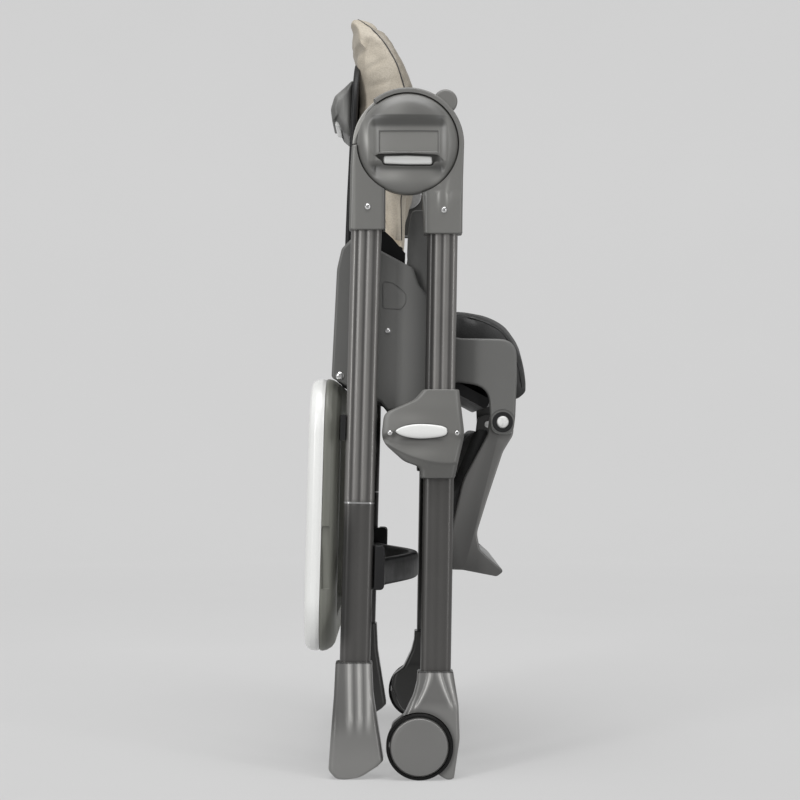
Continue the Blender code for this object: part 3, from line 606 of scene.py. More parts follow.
# group with its values, bump strength, bump distance in metres, and constants on the shader
FINISH = {
    "shell": (moulded(0.04, 0.40, 0.05, 0.10), 0.10, 8e-5, {"Coat Weight": 0.10}),
    "casting": (moulded(0.04, 0.33, 0.05, 0.10, 2600.0), 0.08, 6e-5, {"Metallic": 0.35, "Coat Weight": 0.15}),
    "tube": (moulded(0.03, 0.34, 0.04, 0.05, 1400.0), 0.10, 6e-5, {"Metallic": 0.45, "Coat Weight": 0.15}),
    "panel": (moulded(0.05, 0.46, 0.05, 0.10), 0.16, 1e-4, {}),
    "dark": (moulded(0.10, 0.48, 0.07, 0.04), 0.18, 1e-4, {"Specular IOR Level": 0.25}),
    "tyre": (moulded(0.15, 0.62, 0.08, 0.04, 900.0), 0.25, 1.5e-4, {"Specular IOR Level": 0.15}),
    "white": (moulded(0.01, 0.22, 0.03, 0.02), 0.03, 4e-5, {"Coat Weight": 0.25}),
    "sage": (moulded(0.04, 0.44, 0.05, 0.08), 0.12, 8e-5, {}),
    "beige": (("Leather Grain", {"Roughness": 0.50, "Pebble Scale": 620.0}), 0.35, 3.5e-4, {}),
    "charcoal": (("Leather Grain", {"Roughness": 0.46, "Pebble Scale": 620.0}), 0.35, 3.5e-4, {}),
    "steel": (("Bright Metal", {"Roughness": 0.32}), 0.10, 5e-5, {"Metallic": 1.0}),
    "chrome": (("Bright Metal", {"Roughness": 0.14}), 0.04, 3e-5, {"Metallic": 1.0}),
    "rivet": (("Bright Metal", {"Roughness": 0.55}), 0.05, 4e-5, {"Metallic": 0.55}),
}
# centre and width along x in metres, and strength, of painted light added to a finish's tone: on the side panels a
# painted shadow beside the front tube and a painted highlight in their middle
PAINTED_LIGHT_BELLS = {"panel": ((0.032, 0.028, -0.9), (-0.018, 0.03, 0.4))}


def bell_over_x(tree, centre, width, strength):
    """strength * e^-((x - centre) / width)^2 of the object's own x."""
    away = maths(tree, "DIVIDE", maths(tree, "SUBTRACT", axis_of(tree, place_in(tree), "X"), centre), width)
    fall = maths(tree, "POWER", 2.718, maths(tree, "MULTIPLY", maths(tree, "MULTIPLY", away, away), -1.0))
    return maths(tree, "MULTIPLY", fall, strength)


def material(name):
    """Node material of one finish: its group's colour, roughness and height on a Principled shader."""
    mat = bpy.data.materials.get(f"chair_{name}")
    if mat:
        return mat
    (group_name, values), strength, reach, constants = FINISH[name]
    mat = bpy.data.materials.new(f"chair_{name}")
    mat.use_nodes = True
    tree = mat.node_tree
    shader = tree.nodes["Principled BSDF"]
    effect = tree.nodes.new("ShaderNodeGroup")
    effect.node_tree = bpy.data.node_groups.get(group_name) or GROUP_MAKERS[group_name]()
    colour = (*getattr(bpy.context.scene.high_chair_colours, name), 1.0)
    for label, value in {"Colour": colour, **values}.items():
        effect.inputs[label].default_value = value
    if group_name == "Leather Grain":
        effect.inputs["Band Colour"].default_value = tuple(0.62 * c for c in colour[:3]) + (1.0,)
        band = node(tree, "ShaderNodeAttribute", attribute_name="band")
        tree.links.new(band.outputs["Fac"], effect.inputs["Band"])
    if group_name != "Bright Metal":
        # The tone attribute and the bells along x carry painted light and shade into the colour.
        tone = node(tree, "ShaderNodeAttribute", attribute_name="tone").outputs["Fac"]
        for bell in PAINTED_LIGHT_BELLS.get(name, ()):
            tone = maths(tree, "ADD", tone, bell_over_x(tree, *bell))
        tree.links.new(tone, effect.inputs["Tone"])
    tree.links.new(effect.outputs["Colour"], shader.inputs["Base Color"])
    tree.links.new(effect.outputs["Roughness"], shader.inputs["Roughness"])
    bump = node(tree, "ShaderNodeBump", Strength=strength, Distance=reach)
    tree.links.new(effect.outputs["Height"], bump.inputs["Height"])
    tree.links.new(bump.outputs["Normal"], shader.inputs["Normal"])
    for label, value in {"Coat Roughness": 0.35, **constants}.items():
        shader.inputs[label].default_value = value
    mat.diffuse_color = colour
    return mat


# ------------------------------------------------------------------ hub
def label_edge(x, z):
    """Distance outside the blank label field, negative within it."""
    return np.maximum(np.abs(x - HUB[0] - 1.0) - 36.5, np.abs(z - 800.0) - 13.0)


def cover_height(x, z, mouth_depth):
    """Depth of the cover's face: a flattened dome, a proud cap over a step, a sunk label field,
    and a scoop that rises from the mouth towards the lower rim."""
    rho = np.hypot(x - HUB[0], z - HUB[1])
    dome = 268.5 + 20.6 * np.maximum(1 - (rho / 64.6) ** 3.4, 0) ** 0.46
    inside = 1 - smooth(rho, 50, 60)
    beside = 1 - smooth(np.abs(x - HUB[0]), 40, 52)
    shelf = smooth(z, 818, 834) ** 0.9
    cap = -4.6 * inside * beside * (1 - shelf) + 0.5 * inside * smooth(z, 832, 835)
    edge = label_edge(x, z)
    label = -1.2 * (1 - smooth(edge, -0.6, 0.6)) + 0.35 * ridge(edge, 1.2, 0.9)
    arch = 742 + 0.010 * (x - HUB[0]) ** 2
    scoop = (4.6 * inside - mouth_depth * smooth(z, arch - 10, 770)) * (1 - smooth(z, 770, 777)) * beside
    return dome + cap + label + scoop


def cover_painted_light(x, y, z):
    """Painted light on the cover: a lit cap, a painted highlight crescent, painted shade on the step, a lighter label
    field with a painted shade outline, painted shade under the lever, a lit finger scoop and painted shade at its
    corners.
    """
    rho = np.hypot(x - HUB[0], z - HUB[1])
    cap = smooth(z, 833, 835.5) * (1 - smooth(rho, 57, 61)) * (0.45 * ridge(x, -28, 17) - 0.42)
    ends = 1 - smooth(np.abs(x + 10.5), 42, 50)
    step = -0.9 * smooth(z, 817, 823) * (1 - smooth(z, 832.5, 834.5)) * ends
    crescent = 0.95 * ridge(x + 0.1 * (z - 803), -63.5, 3.4) * ridge(z, 803, 17)
    edge = label_edge(x, z)
    label = 0.25 * (1 - smooth(edge, -0.6, 0.6)) - 0.6 * ridge(edge, 0.4, 0.8)
    under = -1.1 * ridge(z, 768.5, 3.4) * (1 - smooth(np.abs(x - HUB[0]), 40, 48))
    scoop = 0.5 * ridge(x, -31, 17) * ridge(z, 758, 8) + 0.4 * ridge(x, 27, 10) * ridge(z, 749, 8)
    corners = -0.5 * ridge(z, 765, 6) * (ridge(x, 29, 9) + 0.7 * ridge(x, -54, 6))
    return cap + step + crescent + label + under + scoop + corners + painted_shade_inside(y, 268.0, 270.0, 0.8)


def hub_cover_part(side, mouth_depth):
    """Rings that grow from the middle of the lever's mouth out to the round rim.

    Inside the mouth each ring is the outline of a chamber behind the lips scaled about its
    middle, then the chamber's wall and the lips, and outside it a straight blend of the
    mouth's outline with the rim's circle.
    """
    count = 400

    def circle(radius):
        return arc(HUB, radius, -20, 340, count + 1)[:-1]

    def face(flat):
        return cover_height(flat[:, 0], flat[:, 1], mouth_depth)
    lips = [(47, -24.6, 4), (38, -15.2, 8), (0, -13.4, 300), (-38, -14.4, 8), (-46.5, -19, 4),
            (-34, -22.2, 6), (-31, -28.2, 6), (0, -30.0, 300), (31, -29.0, 6), (34, -23.6, 6)]
    mouth = resample(fillet(lips, 14), count) + np.array(HUB)
    middle = np.array([HUB[0], HUB[1] - 22.0])
    rim = circle(COVER_R - 0.8)
    mouth = np.roll(mouth, -int(np.argmin(((mouth - rim[0]) ** 2).sum(-1))), 0)
    chamber = mouth + np.stack([0 * mouth[:, 0], 5.2 * smooth(mouth[:, 1], 775, 783)], 1)
    floor, lip = 270.9, face(mouth)
    rings = [depths(middle + (chamber - middle) * k, floor, side) for k in (0.15, 0.4, 0.65, 0.85, 0.97)]
    rings += [depths(chamber, floor + 1.0, side), depths(chamber, lip - 1.5, side),
              depths(middle + (mouth - middle) * 0.99, lip - 1.3, side),
              depths(middle + (mouth - middle) * 0.993, lip - 0.7, side)]
    for k in np.linspace(0, 1, 100) ** 1.1:
        flat = mouth * (1 - k) + rim * k
        rings.append(depths(flat, face(flat) - 0.5 * np.exp(-k * 45), side))
    outer = circle(COVER_R)
    rings += [depths(outer, face(rim) - 1.6, side), depths(outer, 271.0, side), depths(outer, 269.0, side),
              depths(circle(COVER_R - 0.5), 268.5, side), depths(circle(COVER_R - 4), 268.5, side)]
    return skin(np.stack(rings))


class HIGHCHAIR_OT_hub(bpy.types.Operator):
    """Covers, levers and pivot bushes of the fold joint"""
    bl_idname = "high_chair.hub"
    bl_label = "Fold Hub"

    def execute(self, context):
        sizes = context.scene.high_chair_sizes
        for word, side in SIDES:
            piece(f"cover_{word}", [hub_cover_part(side, sizes.mouth_depth / MM)], "shell", "hub",
                  [f"hub_cover_{word}"], sharp=50, tone=cover_painted_light)
            outline = fillet([(HUB[0] - 30.4, 782.7, 3), (HUB[0], 783.3, 200), (HUB[0] + 30.2, 781.9, 3),
                              (HUB[0] + 30.8, 772.0, 3), (HUB[0], 771.9, 200), (HUB[0] - 30.8, 773.0, 3)])
            # The lever's tone is darker all over, with painted shade towards its ends.
            piece(f"lever_{word}", [prism(outline, 271.6, 280.0, side, 2.6, 0.5, 7)], "white",
                  f"release_lever_{word}", [f"release_lever_{word}"], tone=lambda x, y, z: -0.3
                  - 0.3 * smooth(np.abs(x - HUB[0]), 26, 31))
            profile = fillet([(0, 241, 0), (8, 241, 0.6), (8, 243, 0.2), (23, 243, 1), (23, 245.6, 1),
                              (16, 245.6, 0.2), (16, 268.1, 0.2), (0, 268.1, 0)], 6, closed=False)
            piece(f"pivot_{word}", [lathe(HUB, profile, side, 72)], "steel", "hub", [f"hub_core_{word}"])
        return {"FINISHED"}


# ------------------------------------------------------------------ legs
def leg_tube(top, low, high, side, depth, plain_below):
    """Upright oval tube with flutes down each flat, deeper above a height than below it.

    The flutes are a cosine wave across the flat.
    """
    z = np.linspace(low, high, 120)

    def relief(x, level):
        wave = 0.5 - 0.5 * np.cos(2 * np.pi * ((x - top[0]) / FLUTE_PITCH - 0.5))
        bow = -0.07 * np.abs((x - top[0]) / 10.0) ** 3
        return -depth * wave * (0.3 + 0.7 * smooth(level, plain_below - 6, plain_below + 6)) + bow
    return bar(z, top[0] - TUBE_HALF, top[0] + TUBE_HALF, 252.0, 272.0, 8.2, side, relief, (0.4, 0.4), across=72)


def tube_painted_light(top, lean, plain_below, shadow):
    """Tone of one leaning tube, all painted light: painted highlights on the flute crests above, painted shade below,
    where it is plainer.

    shadow(across, height), a painted shadow, is added to it.
    """
    def tone(x, y, z):
        across = (x - top[0] - np.sin(lean) * (z - top[1])) / np.cos(lean)
        above = smooth(z, plain_below - 3, plain_below + 3)
        crest = np.cos(2 * np.pi * (across / FLUTE_PITCH - 0.5)) * smooth(y, 266, 270)
        return crest * (0.06 + 0.5 * above) - 0.6 * (1 - above) + shadow(across, z) + painted_shade_inside(y, 254, 262, 0.9)
    return tone


def disc(near, far, side):
    """Flat disc of the fold joint with the pivot's hole in it."""
    bore, radius = 16.4, COVER_R - 1.5
    profile = fillet([(bore, near, 0.3), (radius, near, 1.2), (radius, far, 1.2), (bore, far, 0.3)], 5)
    return ring_lathe(HUB, profile, side, 128)


class HIGHCHAIR_OT_sleeves(bpy.types.Operator):
    """Upper castings of both pairs of legs, with the discs of the fold joint"""
    bl_idname = "high_chair.sleeves"
    bl_label = "Leg Sleeves"

    def execute(self, context):
        for word, side in SIDES:
            self.front(word, side)
            self.rear(word, side)
        return {"FINISHED"}

    def front(self, word, side):
        """Socket with two scoops, rim band and ear, cut out round for the cover."""
        room = lathe(HUB, [(0, 268.3), (COVER_R + 0.7, 268.3), (COVER_R + 0.7, 292), (0, 292)], side, 128)
        rim = np.vstack([[(9.5, 690), (57.4, 690), (58.3, 745)], arc(HUB, DISC_R, 0, 128, 60),
                         arc(HUB, COVER_R - 8, 128, 288, 50)])
        band = prism(rim, 257.1, 277.0, side, 2.6, 0.6, 6)
        z = levels(685.0, 760.0, 70)

        def relief(x, level):
            rise = smooth(level, 712, 742)
            scoops = ridge(x, 25, 3.6) + ridge(x, 40, 3.6)
            return -1.9 * smooth(level, 726, 750) - 1.1 * scoops * rise + 0.2 * ridge(x, 33.4, 14)
        block = bar(z, 9.0, 57.75 + 0.8 * smooth(z, 690, 760), 246.3, 278.2, 4.2, side, relief, (1.6, 1.0),
                    across=56)
        ear = prism(arc((36.5, 853.0), 15.2, 0, 357, 72), 262.0, 274.0, side, 3.4, 3.4, 7)
        obj = mesh_object(f"front_casting_{word}", [band])
        carve(obj, [block, ear], "UNION")
        carve(obj, [room])
        join(obj, mesh_object("web", [disc(257.1, 268.0, side)]))

        # Painted highlights in the two scoops, painted shade along the rear edge under the band and on the inner
        # faces.
        def tone(x, y, z):
            painted_highlight = 0.8 * (ridge(x, 27.4, 1.7) + ridge(x, 38, 1.7)) * ridge(z, 735, 13) * smooth(y, 272, 276)
            edge = -0.55 * (1 - smooth(x, 8, 19)) * (1 - smooth(z, 748, 760))
            return painted_highlight + edge + painted_shade_inside(y, 246.5, 249.0, 0.9)
        settle(obj, "shell", "front_frame", [f"front_sleeve_{word}"], 34, tone=tone)
        screw(f"front_screw_{word}", (34.4, 714.75), SLEEVE_FACE, side, "front_frame", [f"front_sleeve_screw_{word}"])

    def rear(self, word, side):
        """Socket that meets the cover, with a crescent round the rear of the joint."""
        room = lathe(HUB, [(0, 257.0), (COVER_R + 0.8, 257.0), (COVER_R + 0.8, 292), (0, 292)], side, 128)
        outline = fillet([(-85.2, 690, 1), (-39.5, 690, 1), (-39.5, 752, 1), (-66, 797, 1), (-81.6, 797, 1),
                          (-83.4, 770, 40)])
        z = levels(690.0, 797.0, 90)

        def relief(x, level):
            return -0.7 * ridge(x, -45, 6) * smooth(level, 720, 745)
        block = bar(z, span(outline, z)[0], -39.5, 246.3, SLEEVE_FACE, 4.2, side, relief, (1.6, 1.2), across=48)
        obj = mesh_object(f"rear_casting_{word}", [block])
        carve(obj, [room])
        crescent = np.vstack([arc(HUB, DISC_R - 0.6, 120, 178.4, 40), arc(HUB, COVER_R - 1.2, 178.4, 120, 40)])
        join(obj, mesh_object("crescent", [prism(crescent, 246.4, 256.7, side, 1.4, 0.3, 5)]))
        join(obj, mesh_object("web", [disc(246.0, 256.7, side)]))

        # Painted light: painted shade at the front edge and a painted highlight line near the rear edge; round the
        # joint a painted shade line beside the cover with a lighter crescent outside it; painted shade on the inner
        # faces.
        def tone(x, y, z):
            edge = -0.5 * smooth(x, -46, -40) + 0.35 * ridge(x, -79, 2.0)
            rho = np.hypot(x - HUB[0], z - HUB[1])
            band = -1.3 + 2.4 * smooth(rho, 63.5, 68.5)
            return np.where(z < 798, edge, np.where(rho > 62.6, band, 0)) + painted_shade_inside(y, 246.5, 249.0, 0.9)
        settle(obj, "shell", "rear_frame", [f"rear_sleeve_{word}"], 34, tone=tone)
        screw(f"rear_screw_{word}", (-61.75, 719), SLEEVE_FACE, side, "rear_frame", [f"rear_sleeve_screw_{word}"])


class HIGHCHAIR_OT_tubes(bpy.types.Operator):
    """Fluted oval leg tubes, the joint rings on the rear pair and the two crossbars"""
    bl_idname = "high_chair.tubes"
    bl_label = "Leg Tubes"

    def execute(self, context):
        depth = context.scene.high_chair_sizes.flute_depth / MM
        # Each shadow is a painted shadow: the tray's over the lower rear tubes, and one along the rear flute of each
        # front tube.
        pairs = (("rear", REAR_TOP, REAR_LEAN, 127, 346, lambda across, z: -1.3 * (1 - smooth(across, -18, 0))
                  * (1 - smooth(z, 300, 350)) * smooth(z, 158, 190)),
                 ("front", FRONT_TOP, FRONT_LEAN, 112, 380, lambda across, z: -1.5 * (1 - smooth(across, -14, -8))
                  * smooth(z, 380, 400)))
        for word, side in SIDES:
            for pair, top, lean, low, plain_below, shadow in pairs:
                piece(f"leg_{pair}_{word}", [leaned(leg_tube(top, low, 706, side, depth, plain_below), top, lean)],
                      "tube", f"{pair}_frame", [f"{pair}_tube_{word}"],
                      tone=tube_painted_light(top, lean, plain_below, shadow))
            reach = TUBE_HALF + 0.2
            ring = bar(np.array([344.6, 344.9, 346.4, 346.7]), REAR_TOP[0] - reach, REAR_TOP[0] + reach, 251.8,
                       272.2, 8.4, side, None, (0, 0))
            piece(f"tube_joint_{word}", [leaned(ring, REAR_TOP, REAR_LEAN)], "steel", "rear_frame")
            self.bracket(word, side)
        t = np.linspace(-1, 1, 90)
        path = np.stack([-58 + 55 * np.cos(np.pi * 237.5 * t / 500) ** 2, 237.5 * t, 252.5 + 0 * t], 1)
        piece("rear_crossbar_bar", [carried(path, (0, 0, 1), 17.5, 8.0, 4.0, 40)], "dark", "rear_frame",
              ["rear_crossbar"])
        profile = fillet([(0, -251.6, 0), (13, -251.6, 1), (13, 251.6, 1), (0, 251.6, 0)], 5, closed=False)
        piece("front_crossbar_bar", [lathe((24.7, 190.0), profile, 1, 72)], "tube", "front_frame",
              ["front_crossbar"])
        return {"FINISHED"}

    def bracket(self, word, side):
        """Saddle with a rounded lip in front of the leg."""
        cheek = fillet([(-84, 240, 8), (-42, 235, 9), (-39.5, 293, 9), (-82, 288, 8)])
        lip = fillet([(-54, 236, 2), (-41, 236, 8), (-39.8, 292, 8), (-52.6, 292, 2)])
        obj = mesh_object(f"bar_saddle_{word}", [prism(cheek, 238.0, 251.4, side, 2.2)])
        join(obj, mesh_object("lip", [prism(lip, 250.0, 270.0, side, 1.8)]))
        settle(obj, "dark", "rear_frame", [f"crossbar_bracket_{word}"])


class HIGHCHAIR_OT_feet(bpy.types.Operator):
    """Rear feet and front wheel housings, both with flutes that fade downward"""
    bl_idname = "high_chair.feet"
    bl_label = "Feet and Housings"

    def execute(self, context):
        depth = context.scene.high_chair_sizes.foot_flute_depth / MM
        for word, side in SIDES:
            self.foot(word, side, depth)
            self.housing(word, side, depth)
        return {"FINISHED"}

    def foot(self, word, side, depth):
        """Rear foot with three ribs under its collar."""
        outline = fillet([(-102, 146, 2), (-56.3, 146, 2), (-54.6, 106, 60), (-41.8, 23, 4), (-49, 16, 6),
                          (-70, 2.5, 50), (-84, 0, 6), (-101, 0, 6), (-111, 11, 9), (-108.5, 48, 60),
                          (-104, 105, 80)], 14)
        z = levels(0.0, 146.0, 120)
        left, right = span(outline, z)

        def ribs(x, level):
            shift = 1.5 * np.clip((146 - level) / 90, 0, 1)
            return sum(ridge(x, c + shift, 3.4) for c in (-85, -72.7, -61.3)), smooth(level, 50, 84)

        def relief(x, level):
            rib, fade = ribs(x, level)
            return -depth * (1 - rib) * fade * (1 - smooth(x, -60, -55)) - 0.5 * smooth(level, 120, 146)

        # Painted light: painted highlights along the ribs with painted shade between them, lighter near the ground,
        # painted shade along the rear edge, at the top where the tube goes in, and on the inner face.
        def tone(x, y, level):
            rib, fade = ribs(x, level)
            face = smooth(y, 270, 275)
            lines = (0.95 * rib - 0.4 * (1 - rib)) * fade * face
            low = 0.15 * ridge(level, 20, 25) * face
            rim = -1.6 * smooth(level, 144.0, 145.2) - 0.35 * (1 - smooth(x, -104, -96)) * smooth(level, 40, 80)
            return lines + low + rim + painted_shade_inside(y, 244.5, 250, 2.0)
        body = bar(z, left, right, 244.0, 280.0, 6.5, side, relief, (3.0, 0.8), across=90)
        piece(f"foot_{word}", [body], "casting", "rear_frame", [f"rear_foot_{word}"], tone=tone)

    def housing(self, word, side, depth):
        """Wheel housing with a slender neck, three ribs that spread down it and a round pocket."""
        outline = fillet([(1, 134.6, 2), (45.8, 134.6, 2), (52.6, 92, 70), (54, 50, 60), (46.5, 0, 4), (36, 0, 2),
                          (22, 9, 10), (-18, 12, 20), (-34, 50, 12), (-31, 68, 8), (-15.5, 80, 10), (-4, 104, 40),
                          (0.4, 121, 30)], 14)
        z = levels(0.0, 134.6, 120)
        left, right = span(outline, z)

        def ribs(x, level):
            s = np.clip((131 - level) / 41, 0, 1.4)
            wide = 3.1 * (1 - 0.35 * s)
            lines = (16.3 - 16.7 * s ** 1.5, 28.4 + 15.2 * s ** 1.2, 39.6 + 10.2 * s ** 1.1)
            return np.clip(sum(ridge(x, c, wide) for c in lines), 0, 1), smooth(level, 84, 100)

        def relief(x, level):
            rib, fade = ribs(x, level)
            return -depth * (1 - rib) * fade - 0.5 * smooth(level, 118, 134)

        # Painted light: painted highlights along the ribs with painted shade between them, a painted shadow round the
        # tyre, and painted shade at the top where the tube goes in and on the inner face.
        def tone(x, y, level):
            rib, fade = ribs(x, level)
            face = smooth(y, 270, 275)
            lines = (0.95 * rib - 0.3 * (1 - rib)) * fade * face
            near = -0.5 * ridge(np.hypot(x - WHEEL[0], level - WHEEL[1]), 43, 3.5)
            return lines + near - 1.6 * smooth(level, 132.6, 133.8) + painted_shade_inside(y, 244.5, 250, 2.0)
        body = bar(z, left, right, 244.0, 280.0, 5.5, side, relief, (2.5, 0.8), across=90)
        pocket = lathe(WHEEL, [(0, 263.5), (42.6, 263.5), (42.6, 293), (0, 293)], side, 144)
        piece(f"wheel_guard_{word}", [body], "casting", "front_frame", [f"wheel_housing_{word}"], [pocket], 34,
              tone=tone)


class HIGHCHAIR_OT_wheels(bpy.types.Operator):
    """Tyres, hub caps and axles"""
    bl_idname = "high_chair.wheels"
    bl_label = "Wheels"

    def execute(self, context):
        for word, side in SIDES:
            tread = fillet([(37.9, 264.3, 0.4), (39.8, 264.3, 1.6), (41.5, 266.6, 2.4), (41.5, 271, 0.5),
                            (41.1, 272, 0.5), (41.1, 279.5, 0.5), (41.5, 280.5, 0.5), (41.5, 285, 2.4),
                            (40.1, 287.6, 1.4), (37.9, 288, 0.4)], 6)
            piece(f"wheel_tyre_{word}", [ring_lathe(WHEEL, tread, side, 144)], "tyre", f"wheel_{word}",
                  [f"tyre_{word}"])
            cap = fillet([(4.4, 264.3, 0), (37.5, 264.3, 0.6), (37.5, 284.6, 0.6), (35.0, 288.2, 1.2),
                          (30.0, 288.8, 4), (12, 289.3, 30), (0, 289.5, 0)], 6, closed=False)
            # The face's tone is a little darker all over, with a painted highlight on the upper rim and painted shade
            # on its inner side.
            piece(f"wheel_face_{word}", [lathe(WHEEL, cap, side, 144)], "casting", f"wheel_{word}",
                  [f"wheel_cap_{word}"], tone=lambda x, y, z: painted_shade_inside(y, 262, 270, 2.0)
                  + 0.6 * ridge(np.hypot(x - WHEEL[0], z - WHEEL[1]), 36, 1.2) * smooth(z, 45, 70) - 0.1)
            axle = fillet([(0, 248, 0), (4, 248, 0.5), (4, 279, 0.5), (0, 279, 0)], 4, closed=False)
            piece(f"axle_{word}", [lathe(WHEEL, axle, side, 40)], "steel", "front_frame", [f"wheel_axle_{word}"])
        return {"FINISHED"}


# ------------------------------------------------------------------ seat
def lens(grow=0.0):
    """Two shallow arcs that meet in a round tip at the rear and a blunt one in front."""
    angle = np.linspace(0, 2 * np.pi, 96, endpoint=False)
    power = 1.2 - 0.55 * smooth(np.cos(angle), -0.3, 1.0)
    rise = np.sign(np.sin(angle)) * np.abs(np.sin(angle)) ** power
    return np.stack([BUTTON[0] + (32.5 + grow) * np.cos(angle), BUTTON[1] + (9.2 + grow) * rise], 1)


class HIGHCHAIR_OT_carriages(bpy.types.Operator):
    """Sliding carriages on the front legs, with their height buttons and screws"""
    bl_idname = "high_chair.carriages"
    bl_label = "Seat Carriages"

    def execute(self, context):
        for word, side in SIDES:
            self.carriage(word, side)
            rings = [depths(lens(-k), 286.0 - (k < 2) * (2 - k) ** 2 * 0.5 + 0.5 * min(k, 6) / 6, side)
                     for k in (0.0, 0.3, 0.7, 1.2, 2.0, 3.4, 5.0, 7.0)]
            back = [depths(lens(-2), 279.3, side), depths(lens(-0.2), 279.3, side), depths(lens(), 279.8, side)]
            # The key's tone is a little darker all over, with painted shade over its lower part.
            piece(f"height_key_{word}", [skin(np.stack(back + rings))], "white", f"height_button_{word}",
                  [f"height_button_{word}"], tone=lambda x, y, z: -0.1 - 0.15 * smooth(432 - z, -3, 4))
        return {"FINISHED"}

    def carriage(self, word, side):
        """Carriage with a scoop under the button, bored for the leg and pocketed for the button."""
        outline = fillet([(53.3, 488.6, 2), (8.1, 488.6, 3), (-4, 475, 26), (-41, 459, 14), (-45, 424, 26),
                          (-16, 398, 30), (4, 391, 12), (4.6, 377, 2), (47.6, 377, 2), (60.2, 432, 50)], 14)
        z = levels(377.0, 488.6, 110)
        left, right = span(outline, z)

        def crease(x):
            return 396 + 0.004 * (x - 40) ** 2

        def relief(x, level):
            skirt = -1.6 * (1 - smooth(level, crease(x) - 1.4, crease(x) + 1.0))
            brow = 437 - 0.0035 * (x - BUTTON[0]) ** 2
            under = smooth(level, crease(x) - 1, 428) * (1 - smooth(level, brow - 3, brow + 3))
            scoop = -4.6 * under * (0.45 + 0.55 * smooth(36 - x, 0, 40))
            fall = -7.0 * (np.clip(8 - x, 0, 60) / 55) ** 2 - 1.5 * (np.clip(x - 40, 0, 30) / 20) ** 2
            return skirt + scoop + fall - 1.6 * smooth(level, 462, 489)

        # Painted light: painted shade on the skirt below the crease, under the button, along the rear edge and the
        # front end and on the inner face; painted light in the scoop below the button and above the brow.
        def tone(x, y, level):
            skirt = -0.4 * (1 - smooth(level, crease(x) - 1.5, crease(x) + 1)) - 0.15 * (1 - smooth(level, 428, 438))
            scoop = 0.3 * ridge(x, 2, 26) * ridge(level, 409, 9) + 0.25 * ridge(x, -8, 22) * ridge(level, 452, 8)
            under = -0.7 * ridge(level, 425.8, 1.8) * (1 - smooth(np.abs(x - BUTTON[0]), 20, 30))
            edge = -0.8 * (1 - smooth(x, -45, -38)) - 0.3 * smooth(x, 50, 56)
            return (skirt + scoop + under + edge) * smooth(y, 262, 272) + painted_shade_inside(y, 229, 245, 0.8)
        body = bar(z, left, right, ON_PANEL, 284.0, 7.0, side, relief, (1.5, 1.5), across=84)
        reach = TUBE_HALF + 0.55
        tunnel = leaned(bar([300.0, 560.0], FRONT_TOP[0] - reach, FRONT_TOP[0] + reach, 251.4, 272.6, 8.4, side, None,
                            (0, 0)), FRONT_TOP, FRONT_LEAN)
        pocket = skin(np.stack([depths(lens(0.8), 273.8, side), depths(lens(0.8), 290.0, side)]))
        piece(f"slider_{word}", [body], "shell", "seat", [f"carriage_{word}"], [tunnel, pocket], 34,
              tone=tone)
        for tag, x in (("rear", -33.5), ("front", 50.5)):
            screw(f"slider_screw_{tag}_{word}", (x, 434.0), 281.8, side, "seat", radius=3.3)


